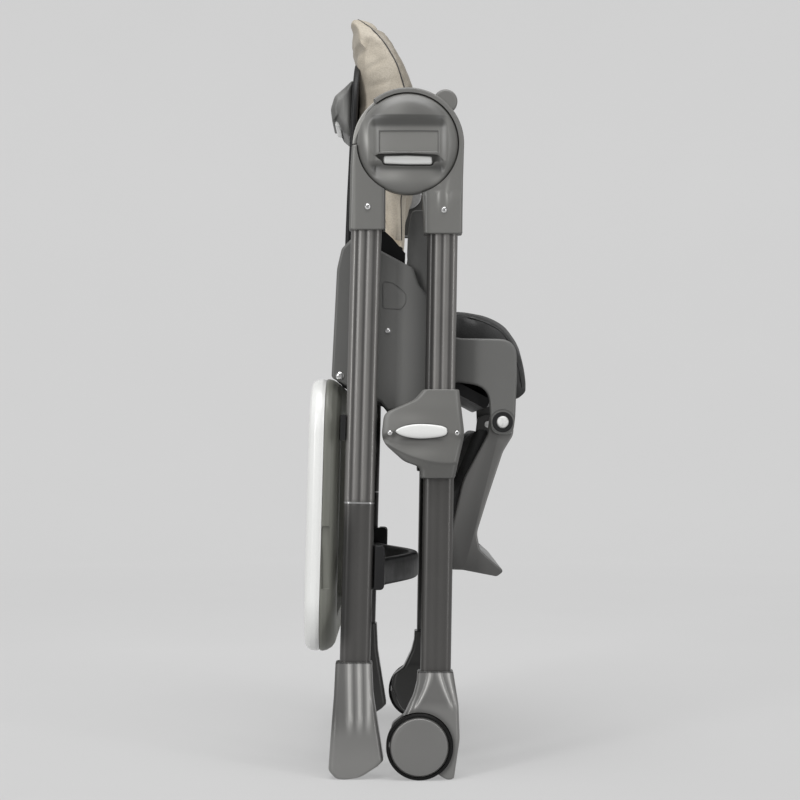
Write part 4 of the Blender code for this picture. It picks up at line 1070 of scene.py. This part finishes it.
class HIGHCHAIR_OT_seat_sides(bpy.types.Operator):
    """Side panels of the seat with their rivets and screws"""
    bl_idname = "high_chair.seat_sides"
    bl_label = "Seat Side Panels"

    def execute(self, context):
        outline = fillet([(-102, 645, 60), (-96, 671, 12), (-83, 684, 6), (-45, 668, 30), (-4, 646, 9), (3, 624, 18),
                          (22, 600, 40), (44, 556, 26), (129, 554.4, 26), (129, 505, 60), (127, 455, 40),
                          (124, 431.5, 17), (95.5, 432, 15), (93.5, 493, 36), (48, 500, 10), (36, 470, 14),
                          (-37, 462, 5), (-46, 474, 8), (-92, 496, 8), (-109, 505, 6)], 12)
        shield = fillet([(-44, 629, 5), (-30, 627, 12), (-12, 613, 12), (-13, 600, 14), (-19, 591.5, 9),
                         (-44, 593, 5)])
        for word, side in SIDES:
            body = prism(outline, 212.0, PANEL_FACE, side, 3.2, 1.5, 6)
            line = resample(shield, 90)
            rings = [depths(inset(line, 1.3) if inner else line, depth, side) for inner, depth in
                     ((0, 226.9), (1, 226.9), (1, 230.0), (0, 230.0), (0, 226.9))]
            recess = skin(np.stack(rings), start=False, end=False)
            groove = ring_lathe(LEGREST_PIVOT, fillet([(14.6, 227.0, 0.3), (16.2, 227.0, 0.3), (16.8, 229.5, 0.1),
                                                       (14.0, 229.5, 0.1)], 4), side, 96)
            # Painted shade on the panel's inner face; the panel finish adds the painted shadow and highlight of its
            # bells.
            piece(f"seat_wall_{word}", [body], "panel", "seat", [f"seat_side_{word}"], [recess, groove], 34,
                  tone=lambda x, y, z: painted_shade_inside(y, 212.5, 216, 1.2))
            head = fillet([(0, 222.6, 0), (2.6, 222.6, 0), (2.6, ON_PANEL, 0), (5.2, ON_PANEL, 0.2),
                           (5.2, 229.2, 0.5), (3.4, 230.8, 1.6), (0, 231.25, 0)], 6, closed=False)
            piece(f"rod_end_{word}", [lathe(SEAT_PIVOT, head, side, 48)], "chrome", "seat",
                  [f"recline_rod_screw_{word}"])
            rivet = fillet([(0, 199.6, 0), (5, 199.6, 0.6), (5, ON_PANEL, 0), (7.6, ON_PANEL, 0.2), (7.6, 229.6, 0.3),
                            (6.6, 231.2, 1.0), (3.2, 231.7, 4), (0, 231.75, 0)], 6, closed=False)
            piece(f"legrest_rivet_{word}", [lathe(LEGREST_PIVOT, rivet, side, 72)], "rivet", "seat",
                  [f"legrest_pin_{word}"])
            # A thin dark ring round each rivet: painted shade of the recess round it, put in as a piece.
            rivet_shade_ring = fillet([(8.0, ON_PANEL, 0.2), (13.4, ON_PANEL, 0.2), (12.6, 229.3, 0.5), (8.0, 229.0, 0.3)], 5)
            piece(f"legrest_rivet_shade_ring_{word}", [ring_lathe(LEGREST_PIVOT, rivet_shade_ring, side, 96)], "dark", "seat")
            self.trim(word, side)
            self.rack(word, side)
            screw(f"panel_screw_{word}", (-36.4, 565.0), PANEL_FACE, side, "seat", radius=3.6)
        rod = [(0, -222), (4, -222), (4, 222), (0, 222)]
        piece("rod", [lathe(SEAT_PIVOT, rod, 1, 40)], "steel", "seat", ["recline_rod"])
        return {"FINISHED"}

    def trim(self, word, side):
        """Thin inner wing that stands up from the side panel behind the front leg."""
        outline = fillet([(-6, 722, 8), (-11, 690, 40), (-12, 660, 40), (-6, 632, 20), (6, 604, 10), (44, 596, 6),
                          (44, 722, 8)], 10)
        piece(f"seat_wing_{word}", [prism(outline, 207.6, 211.7, side, 1.2, 1.2)], "panel", "seat")

    def rack(self, word, side):
        """Toothed comb that the backrest steps along, with a smooth cheek on its outer face."""
        foot = [(-15, 640, 2), (-22, 608, 2), (-62, 608, 2)]
        cheek = fillet([(-62, 706, 2), (-50, 703.5, 14), (-31, 686.5, 30), (-15, 667.5, 2)] + foot, 8)
        teeth = []
        for x in -62 + 8.0 * np.arange(6):
            top = 706 - 0.75 * (x + 62)
            teeth += [(x, top, 0.6), (x + 4.5, top - 2, 0.6), (x + 4.5, top - 8, 0.4), (x + 8, top - 8.5, 0.4)]
        comb = fillet(teeth + foot, 3)
        piece(f"rack_{word}", [prism(cheek, 205.2, 208.0, side, 0.8, 0.4), prism(comb, 198.0, 205.6, side, 0.3)],
              "dark", "seat", [f"recline_rack_{word}"])


# ------------------------------------------------------------------ padded pieces
def voxel_copy(name, source):
    """Merged copy of a CAD solid, remeshed into even 5 mm cells and shrunk along its normals."""
    mesh = frame["nodes"][source].data.copy()
    obj = bpy.data.objects.new(name, mesh)
    bpy.context.scene.collection.objects.link(obj)
    bm = bmesh.new()
    bm.from_mesh(mesh)
    bmesh.ops.remove_doubles(bm, verts=bm.verts, dist=1e-5)
    bmesh.ops.recalc_face_normals(bm, faces=bm.faces)
    bm.to_mesh(mesh)
    bm.free()
    add_modifier(obj, "cells", "REMESH", {"mode": "VOXEL", "voxel_size": 0.005})
    add_modifier(obj, "relax", "SMOOTH", {"factor": 0.5, "iterations": 9})
    add_modifier(obj, "shrink", "DISPLACE", {"strength": -0.0045, "mid_level": 0.0})
    return applied(obj)


def add_modifier(obj, name, kind, values):
    """New modifier with its settings."""
    modifier = obj.modifiers.new(name, kind)
    for key, value in values.items():
        setattr(modifier, key, value)


def inflate(obj, cap):
    """Cloth simulation of the closed skin under inside pressure, its travel capped."""
    scene = bpy.context.scene
    before = points_of(obj.data)
    cloth = obj.modifiers.new("stuffing", "CLOTH")
    cloth.settings.use_pressure = True
    cloth.settings.uniform_pressure_force = PAD_PRESSURE
    cloth.settings.effector_weights.gravity = 0.0
    cloth.settings.quality = 5
    cloth.settings.mass = 0.3
    cloth.point_cache.frame_start = 1
    cloth.point_cache.frame_end = PAD_FRAMES
    for step in range(1, PAD_FRAMES + 1):
        scene.frame_set(step)
    graph = bpy.context.evaluated_depsgraph_get()
    after = points_of(obj.evaluated_get(graph).data)
    obj.modifiers.clear()
    scene.frame_set(1)
    move = after - before
    move *= np.minimum(1.0, cap / np.maximum(np.linalg.norm(move, axis=1), 1e-9))[:, None]
    set_points(obj, before + move)


def cushion(name, source, finish, body, cap=0.010, tucked=None):
    """Stuffed pad in the space of a CAD solid: remeshed, blown up a little and subdivided once."""
    obj = voxel_copy(name, source)
    inflate(obj, cap)
    add_modifier(obj, "smoother", "SUBSURF", {"levels": 1, "render_levels": 1})
    applied(obj)
    low, high = (np.array(corner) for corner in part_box(source))
    co = points_of(obj.data)
    share = (co - co.min(0)) / (co.max(0) - co.min(0))
    set_points(obj, low + share * (high - low))
    if tucked:
        held(obj, source, tucked)
    settle(obj, finish, body, [source], 180)
    return obj


def held(obj, source, below):
    """Keep a pad's lowest end, and its middle under one height, inside the CAD solid."""
    _, y, z = points_of(obj.data).T
    group = obj.vertex_groups.new(name="held")
    group.add(np.nonzero((z < below) & (np.abs(y) < 0.12) | (z < 0.65))[0].tolist(), 1.0, "REPLACE")
    add_modifier(obj, "held", "SHRINKWRAP", {"target": frame["nodes"][source], "wrap_mode": "INSIDE",
                                             "offset": 0.0006, "vertex_group": "held"})
    applied(obj)
    obj.vertex_groups.clear()


def reshaped(co, line, low, high):
    """Points above a height moved along x so that the pad's silhouette follows (z, x0, x1) rows.

    The pad's own first and last x at each height are found in 40 even slices, and each point
    keeps its share of the way between them.
    """
    slices = np.linspace(low, co[:, 2].max(), 41)
    index = np.clip(np.searchsorted(slices, co[:, 2]) - 1, 0, 39)
    first, last = np.full(40, np.inf), np.full(40, -np.inf)
    np.minimum.at(first, index, co[:, 0])
    np.maximum.at(last, index, co[:, 0])
    middle = (slices[1:] + slices[:-1]) / 2
    for _ in range(3):
        first, last = (np.convolve(np.pad(v, 1, "edge"), (0.25, 0.5, 0.25), "valid") for v in (first, last))
    x0, x1 = np.interp(co[:, 2], middle, first), np.interp(co[:, 2], middle, last)
    goal = np.array(line, float)
    g0, g1 = np.interp(co[:, 2], goal[:, 0], goal[:, 1]), np.interp(co[:, 2], goal[:, 0], goal[:, 2])
    moved = g0 + (co[:, 0] - x0) / np.maximum(x1 - x0, 1e-6) * (g1 - g0)
    share = smooth(co[:, 2], low, high)
    return np.stack([co[:, 0] + share * (moved - co[:, 0]), co[:, 1], co[:, 2]], 1)


def piping(name, pad, line, side, body):
    """Thin cord on the line where rays from outside, square to the side view, first meet a pad."""
    bm = bmesh.new()
    bm.from_mesh(pad.data)
    tree = BVHTree.FromBMesh(bm)
    bm.free()
    hits = (tree.ray_cast(Vector((x * MM, side * 0.26, z * MM)), Vector((0.0, -side, 0.0)))[0] for x, z in line)
    path = np.array([hit for hit in hits if hit is not None]) / MM
    for _ in range(6):
        path = np.vstack([path[:1], 0.25 * path[:-2] + 0.5 * path[1:-1] + 0.25 * path[2:], path[-1:]])
    path[:, 1] += side * 0.3
    radius = bpy.context.scene.high_chair_sizes.piping_radius / MM
    piece(name, [carried(path, (1, 0, 0), radius, radius)], "charcoal", body)


class HIGHCHAIR_OT_back_cushion(bpy.types.Operator):
    """Beige back cushion with its side gussets and piping"""
    bl_idname = "high_chair.back_cushion"
    bl_label = "Back Cushion"

    def execute(self, context):
        obj = cushion("back_pad", "back_cushion", "beige", "backrest", tucked=0.77)
        co = points_of(obj.data) / MM
        top = co[:, 2].max()
        co[:, 2] += (993 - top) * smooth(co[:, 2], 900, top)
        co[:, 2] -= 8 * (1 - smooth(np.abs(co[:, 1]), 80, 128)) * smooth(co[:, 2], 900, 960)
        co = reshaped(co, [(867, -76, -3.5), (894, -77, -4.4), (908, -77.5, -9.5), (924, -79, -15.6),
                           (953, -83, -31.8), (970, -87, -43.5), (981, -89.5, -52.2), (988, -88, -59),
                           (993, -80, -67)], 850, 880)
        line = resample(fillet([(-19, 690, 0), (-20, 745, 40), (-11, 785, 60), (-6.5, 850, 60), (-15.7, 891, 60),
                                (-25, 921, 60), (-40.7, 950, 60), (-57.7, 972, 40), (-77, 989, 0)], 8,
                               closed=False), 110, closed=False)
        edge = np.interp(co[:, 2], line[:, 1], line[:, 0])
        outside = smooth(np.abs(co[:, 1]), 128, 134)
        set_values(obj, "band", smooth(co[:, 0] - edge, -0.5, 1.0) * outside)
        set_points(obj, (co + self.creases(co, outside)) * MM)
        # Painted light: the pad lighter below 800 mm, and a little darker above 900 mm.
        set_values(obj, "tone", 0.75 * (1 - smooth(co[:, 2], 700, 800)) - 0.06 * smooth(co[:, 2], 820, 900))
        for word, side in SIDES:
            piping(f"back_piping_{word}", obj, line, side, "backrest")
        return {"FINISHED"}

    def creases(self, co, outside):
        """Soft dents in the wings: a bell across each line times a longer bell along it."""
        inward = np.zeros_like(co)
        for x, z, turn, depth in ((-63, 946, 65, 1.8), (-54, 921, 28, 2.2), (-48, 895, 12, 1.8),
                                  (-70, 905, 80, 1.4)):
            a = np.radians(turn)
            along = (co[:, 0] - x) * np.cos(a) + (co[:, 2] - z) * np.sin(a)
            across = (co[:, 2] - z) * np.cos(a) - (co[:, 0] - x) * np.sin(a)
            dent = depth * np.exp(-(across / 4.0) ** 2 - (along / 14.0) ** 2)
            inward[:, 1] -= np.sign(co[:, 1]) * dent * outside
        return inward


class HIGHCHAIR_OT_seat_cushion(bpy.types.Operator):
    """Charcoal seat cushion with raised sides, and the calf pad of the legrest"""
    bl_idname = "high_chair.seat_cushion"
    bl_label = "Seat Cushion"

    def execute(self, context):
        obj = cushion("seat_pad", "seat_cushion", "charcoal", "seat")
        u = np.array([36, 55, 80, 100, 122, 150, 168, 184, 200, 214])
        v = np.array([104, 122, 135, 144, 150, 152, 146, 134, 118, 100])
        line = resample(np.stack(seat_point(u, v), 1), 70, closed=False)
        for word, side in SIDES:
            piping(f"seat_piping_{word}", obj, line, side, "seat")
        calf = cushion("calf_cushion", "calf_pad", "charcoal", "legrest", cap=0.006)
        co = points_of(calf.data)
        co[:, 0] += 0.007 * smooth(co[:, 2], 0.345, 0.430)
        set_points(calf, co)
        return {"FINISHED"}


# ------------------------------------------------------------------ back and legrest
class HIGHCHAIR_OT_backrest(bpy.types.Operator):
    """Moulded back shell with its recline handle and trigger"""
    bl_idname = "high_chair.backrest"
    bl_label = "Backrest Shell"

    def execute(self, context):
        outline = fillet([(-81, 930, 4), (-83, 900, 80), (-91, 740, 200), (-94, 660, 200), (-101, 516, 6),
                          (-93, 512, 4), (-86, 660, 200), (-83, 740, 200), (-75, 900, 80), (-73, 930, 4)], 12)
        z = levels(512.3, 929.8, 140)
        back, front = span(outline, z)
        drop = np.clip(z - 860, 0, 69.9)
        half = 171.0 - (70 - np.sqrt(70 ** 2 - drop ** 2))
        shell = bar(z, back, front, -half, half, 3.4, 1.0, None, (1.5, 1.5), across=4)
        barrel = ring_lathe(SEAT_PIVOT, fillet([(4.4, -172, 0.3), (7.5, -172, 1), (7.5, 172, 1), (4.4, 172, 0.3)], 4),
                            1, 48)
        obj = mesh_object("back_shell", [shell])
        join(obj, mesh_object("barrel", [barrel]))
        settle(obj, "dark", "backrest", ["backrest_shell"])
        hood = fillet([(-84.6, 922, 3), (-97, 910, 20), (-111, 898, 14), (-116.5, 880, 16), (-114, 861, 3),
                       (-107.5, 864, 5), (-101, 850, 6), (-93, 843, 5), (-86.6, 843, 5)], 14)
        hollow = fillet([(-97, 890, 4), (-106, 884, 4), (-112, 843, 2), (-101, 838, 2)])

        # Painted light: a painted highlight stripe down the hood's middle, painted shade towards its front edge and
        # its lower end.
        def tone(x, y, z):
            light = 0.9 * ridge(x + 0.2 * (z - 885), -100, 6) - 0.4 * smooth(x, -94, -86)
            return light - 0.5 * smooth(-z, -868, -848)
        piece("pull_hood", [pillow(hood, 62.0, 13.0, 0.45)], "panel", "backrest", ["recline_handle"],
              [prism(hollow, -51.6, 51.6, 1, 1.0)], 34, tone=tone)
        blade = fillet([(-103, 884, 2), (-109, 884, 2), (-110.5, 857, 4), (-102, 855, 4)])
        piece("pull_trigger", [prism(blade, -50.0, 50.0, 1, 2.2, 2.2, 6)], "white", "recline_trigger",
              ["recline_trigger"])
        return {"FINISHED"}


class HIGHCHAIR_OT_legrest(bpy.types.Operator):
    """Legrest arms and the footboard between them"""
    bl_idname = "high_chair.legrest"
    bl_label = "Legrest"

    def execute(self, context):
        arm = fillet([(95.5, 463, 15), (125.7, 463, 15), (125.5, 432, 20), (112, 410, 40), (91, 347, 60),
                      (78, 305, 25), (82, 284, 14), (99, 268, 20), (113, 256, 4), (104, 249, 6),
                      (60, 257.5, 20), (42, 258, 6), (45, 310, 60), (60, 373, 80), (92, 432, 20)], 12)
        for word, side in SIDES:
            # Painted shade: the arm darker below 310 mm, towards the footboard, and on its inner face.
            piece(f"legrest_side_{word}", [prism(arm, 200.0, 211.5, side, 2.6, 1.2, 6)], "casting", "legrest",
                  [f"legrest_arm_{word}"], tone=lambda x, y, z: -0.8 * (1 - smooth(z, 255, 310))
                  + painted_shade_inside(y, 202, 208, 1.5))
        board = fillet([(42, 258, 4), (41, 272, 4), (80, 273, 8), (99, 268, 20), (113, 256, 3), (104, 249, 5),
                        (60, 257.5, 20)])
        # Painted shade: the whole footboard darker, lying in shade between the arms.
        piece("footboard", [prism(board, -199.6, 199.6, 1, 1.5)], "casting", "legrest", ["footrest"],
              tone=lambda x, y, z: -0.8)
        return {"FINISHED"}


# ------------------------------------------------------------------ tray
def tray_loop(inset_by):
    """Rounded rectangle of the tray in the (y, z) plane, shrunk on every side."""
    y, low, high = 255.0 - inset_by, 150.0 + inset_by, 503.0 - inset_by
    r = 70.0 - 0.6 * inset_by
    corners = [((y - r, high - r), 0), ((r - y, high - r), 90), ((r - y, low + r), 180), ((y - r, low + r), 270)]
    return np.vstack([arc(c, r, a, a + 90, 18) for c, a in corners])


def tray_skin(profile):
    """(distance behind the leg axis, inset) profile carried round the rounded rectangle."""
    rings = [np.insert(tray_loop(i), 0, REAR_TOP[0] - x, axis=1) for x, i in profile]
    return leaned(skin(np.stack(rings)), REAR_TOP, REAR_LEAN)


class HIGHCHAIR_OT_tray(bpy.types.Operator):
    """Under-tray hung behind the rear legs, and the lift-out tray on it"""
    bl_idname = "high_chair.tray"
    bl_label = "Tray"

    def execute(self, context):
        face, back = TRAY_FACE, TRAY_FACE + 20.5
        shell = fillet([(back - 4, 50, 0), (back - 4, 47, 1), (face + 0.5, 44, 1.2), (face, 43, 0.8), (face, 17, 6),
                        (face + 1.5, 10.5, 8), (face + 5.5, 5, 8), (face + 12, 1.2, 8), (face + 17, 0, 6),
                        (back - 0.6, 0.2, 0.6), (back, 1.2, 0.6), (back, 6, 0)], 5, closed=False)
        holes = []
        for word, side in SIDES:
            ring = arc((side * 226.0, 440.0), 5.8, 0, 345, 24)
            holes.append(leaned(skin(np.stack([np.insert(ring, 0, REAR_TOP[0] - x, axis=1)
                                               for x in (face - 4, face + 12)])), REAR_TOP, REAR_LEAN))
            slot = fillet([(-121, 316, 1.5), (-110.5, 316, 1.5), (-110.5, 236, 1.5), (-121, 236, 1.5)])
            holes.append(prism(slot, 250.5, 262.0, side, 0.01, 0.8, 4))
        # Painted light on the face and rounded shoulder nearest the rear legs.
        piece("under_tray", [tray_skin(shell)], "sage", "tray_base", ["tray_base"], holes, 34,
              tone=lambda x, y, z: 0.45 * smooth(x + np.sin(REAR_LEAN) * (799 - z), -98, -88))
        near = back + GAP
        far = near + 20.0
        rim = fillet([(near, 7, 0), (near, 1.5, 0.8), (near + 5, 0, 8), (far - 8, 1, 8), (far - 3, 4, 5),
                      (far - 0.6, 9, 6), (far, 15, 8), (far - 1.5, 22, 8), (far - 12, 29, 5), (far - 14.5, 36, 6),
                      (far - 14.5, 60, 0)], 6, closed=False)
        piece("lift_out_tray", [tray_skin(rim)], "white", "tray_insert", ["tray_insert"])
        return {"FINISHED"}


# ------------------------------------------------------------------ kept nodes and stage
class HIGHCHAIR_OT_finishes(bpy.types.Operator):
    """Node materials on the frame's own pieces that stay in view"""
    bl_idname = "high_chair.finishes"
    bl_label = "Finishes of Kept Pieces"

    def execute(self, context):
        slots = {entry["node"]: entry["material_slot"] for entry in frame["record"]["subparts"]}
        for name, obj in frame["nodes"].items():
            for slot in obj.material_slots:
                # The seat pan takes the dark finish in place of its own slot: painted shade for the underside of the
                # seat.
                slot.material = material("dark" if name == "seat_pan" else slots[name])
        return {"FINISHED"}


class HIGHCHAIR_OT_stage(bpy.types.Operator):
    """Plain pale floor that curves up behind, soft studio lights and the camera"""
    bl_idname = "high_chair.stage"
    bl_label = "Stage"

    def execute(self, context):
        colours = context.scene.high_chair_colours
        self.floor(colours.floor)
        self.lights()
        self.camera(context)
        context.scene.view_settings.view_transform = "Standard"
        return {"FINISHED"}

    def floor(self, colour):
        """Round floor of radius 4 m, then a quarter circle of radius 1.5 m, then upright, turned
        once about the vertical line through the chair."""
        angle = np.linspace(0, np.pi / 2, 24)
        bend = np.stack([4.0 + 1.5 * np.sin(angle), 1.5 - 1.5 * np.cos(angle)], 1)
        path = np.vstack([[(0.4, 0.0), (2.0, 0.0)], bend, [(5.5, 6.0)]])
        turn = np.linspace(0, 2 * np.pi, 96, endpoint=False)
        grid = np.stack([path[:, :1] * np.cos(turn), path[:, :1] * np.sin(turn),
                         np.broadcast_to(path[:, 1:], (len(path), 96))], -1)
        index = np.arange(len(path) * 96).reshape(-1, 96)
        ahead = np.roll(index, -1, 1)
        faces = np.stack([index[:-1], index[1:], ahead[1:], ahead[:-1]], -1).reshape(-1, 4)
        mesh = bpy.data.meshes.new("floor")
        mesh.from_pydata(grid.reshape(-1, 3).tolist(), [], [index[0].tolist()] + faces.tolist())
        mesh.shade_smooth()
        obj = bpy.data.objects.new("floor", mesh)
        bpy.context.scene.collection.objects.link(obj)
        mat = bpy.data.materials.new("chair_floor")
        mat.use_nodes = True
        tree = mat.node_tree
        shader = tree.nodes["Principled BSDF"]
        place = place_in(tree)
        grain = noise(tree, place, 3.0, 3.0)
        tone = mixed(tree, ranged(tree, grain, 0.3, 0.7, 0.0, 0.03), (*colour, 1.0), (0.5, 0.5, 0.5, 1.0))
        tree.links.new(tone, shader.inputs["Base Color"])
        shader.inputs["Roughness"].default_value = 0.85
        depth = axis_of(tree, place, "Y")
        glow = maths(tree, "ADD", ranged(tree, depth, -3.0, 1.2, 0.40, 1.0), ranged(tree, depth, 1.2, 4.5, 0.0, 0.15))
        tree.links.new(glow, shader.inputs["Emission Color"])
        shader.inputs["Emission Strength"].default_value = 0.41
        shader.inputs["Specular IOR Level"].default_value = 0.1
        mesh.materials.append(mat)

    def lights(self):
        """White surroundings and three soft rectangular lamps aimed at the chair's middle."""
        world = bpy.data.worlds.new("studio")
        bpy.context.scene.world = world
        world.use_nodes = True
        background = world.node_tree.nodes["Background"]
        background.inputs["Color"].default_value = (1.0, 1.0, 1.0, 1.0)
        background.inputs["Strength"].default_value = 0.22
        for name, place, size, power in (("key", (-1.7, -2.7, 1.5), (0.5, 2.2), 42.0),
                                         ("fill", (2.0, -2.4, 1.0), (0.35, 2.2), 20.0),
                                         ("top", (0.0, -0.9, 3.0), (2.4, 1.6), 62.0)):
            light = bpy.data.lights.new(name, "AREA")
            light.shape = "RECTANGLE"
            light.size, light.size_y = size
            light.energy = power
            lamp = bpy.data.objects.new(name, light)
            lamp.location = place
            aim = Vector((0.0, 0.0, 0.5)) - Vector(place)
            lamp.rotation_euler = aim.to_track_quat("-Z", "Y").to_euler()
            bpy.context.scene.collection.objects.link(lamp)

    def camera(self, context):
        """Long lens at the chair's middle height, on its right side."""
        data = bpy.data.cameras.new("camera")
        data.lens = 88.2
        data.sensor_width = 36.0
        camera = bpy.data.objects.new("camera", data)
        camera.location = (-0.021, -2.74, 0.4275)
        camera.rotation_euler = (np.pi / 2 + np.arctan(0.0194), 0.0, 0.0)
        context.scene.collection.objects.link(camera)
        context.scene.camera = camera


# ------------------------------------------------------------------ settings
def colour_setting(label, description, default):
    """Colour property with its default."""
    return FloatVectorProperty(name=label, description=description, default=default, size=3, min=0.0, max=1.0,
                               subtype="COLOR")


class HighChairSizes(bpy.types.PropertyGroup):
    """Sizes that a user would change, in metres."""
    mouth_depth: FloatProperty(name="Scoop Depth", description="Depth of the finger scoop under the lever",
                               default=0.0085, unit="LENGTH")
    flute_depth: FloatProperty(name="Tube Flutes", description="Depth of the flutes along the leg tubes",
                               default=0.0008, unit="LENGTH")
    foot_flute_depth: FloatProperty(name="Foot Flutes", description="Depth of the flutes on feet and housings",
                                    default=0.0022, unit="LENGTH")
    piping_radius: FloatProperty(name="Piping", description="Radius of the cushions' piping",
                                 default=0.0008, unit="LENGTH")


class HighChairColours(bpy.types.PropertyGroup):
    """Linear base colour of each finish."""
    shell: colour_setting("Shell", "Hub, sleeves and carriages", (0.138, 0.137, 0.130))
    casting: colour_setting("Casting", "Feet, housings, caps and legrest", (0.200, 0.198, 0.192))
    tube: colour_setting("Tube", "Painted leg tubes", (0.136, 0.132, 0.127))
    panel: colour_setting("Panel", "Seat side panels", (0.118, 0.118, 0.114))
    dark: colour_setting("Dark", "Black mouldings", (0.013, 0.013, 0.0135))
    tyre: colour_setting("Tyre", "Wheel tyres", (0.005, 0.005, 0.005))
    white: colour_setting("White", "Lift-out tray, levers and buttons", (0.78, 0.785, 0.77))
    sage: colour_setting("Under-tray", "Grey under-tray", (0.150, 0.152, 0.132))
    beige: colour_setting("Beige", "Back cushion", (0.43, 0.385, 0.315))
    charcoal: colour_setting("Charcoal", "Seat cushion, calf pad and piping", (0.024, 0.024, 0.024))
    steel: colour_setting("Steel", "Rods, axles and bushes", (0.50, 0.50, 0.50))
    chrome: colour_setting("Bright", "Screws and rings", (0.85, 0.85, 0.85))
    rivet: colour_setting("Rivet", "Legrest rivets", (0.74, 0.74, 0.73))
    floor: colour_setting("Floor", "Studio floor", (0.28, 0.28, 0.28))


OPERATORS = (
    HIGHCHAIR_OT_hub,
    HIGHCHAIR_OT_sleeves,
    HIGHCHAIR_OT_tubes,
    HIGHCHAIR_OT_feet,
    HIGHCHAIR_OT_wheels,
    HIGHCHAIR_OT_carriages,
    HIGHCHAIR_OT_seat_sides,
    HIGHCHAIR_OT_backrest,
    HIGHCHAIR_OT_legrest,
    HIGHCHAIR_OT_tray,
    HIGHCHAIR_OT_back_cushion,
    HIGHCHAIR_OT_seat_cushion,
    HIGHCHAIR_OT_finishes,
    HIGHCHAIR_OT_stage,
)


class HIGHCHAIR_PT_sidebar(bpy.types.Panel):
    """Lists the operators and settings in the 3D view's sidebar"""
    bl_idname = "HIGHCHAIR_PT_sidebar"
    bl_label = "Folding High Chair"
    bl_space_type = "VIEW_3D"
    bl_region_type = "UI"
    bl_category = "High Chair"

    def draw(self, context):
        for group in (context.scene.high_chair_sizes, context.scene.high_chair_colours):
            box = self.layout.box()
            for name in group.__annotations__:
                box.prop(group, name)
        for operator in OPERATORS:
            self.layout.operator(operator.bl_idname)


def register():
    """Register the classes and put the settings on the scene."""
    for cls in (HighChairSizes, HighChairColours, *OPERATORS, HIGHCHAIR_PT_sidebar):
        bpy.utils.register_class(cls)
    bpy.types.Scene.high_chair_sizes = PointerProperty(type=HighChairSizes)
    bpy.types.Scene.high_chair_colours = PointerProperty(type=HighChairColours)


def unregister():
    """Take the settings and the classes away again."""
    del bpy.types.Scene.high_chair_colours
    del bpy.types.Scene.high_chair_sizes
    for cls in reversed((HighChairSizes, HighChairColours, *OPERATORS, HIGHCHAIR_PT_sidebar)):
        bpy.utils.unregister_class(cls)


def main():
    """Call every operator in order."""
    register()
    for operator in OPERATORS:
        category, name = operator.bl_idname.split(".")
        getattr(getattr(bpy.ops, category), name)()


if __name__ == "__main__":
    main()
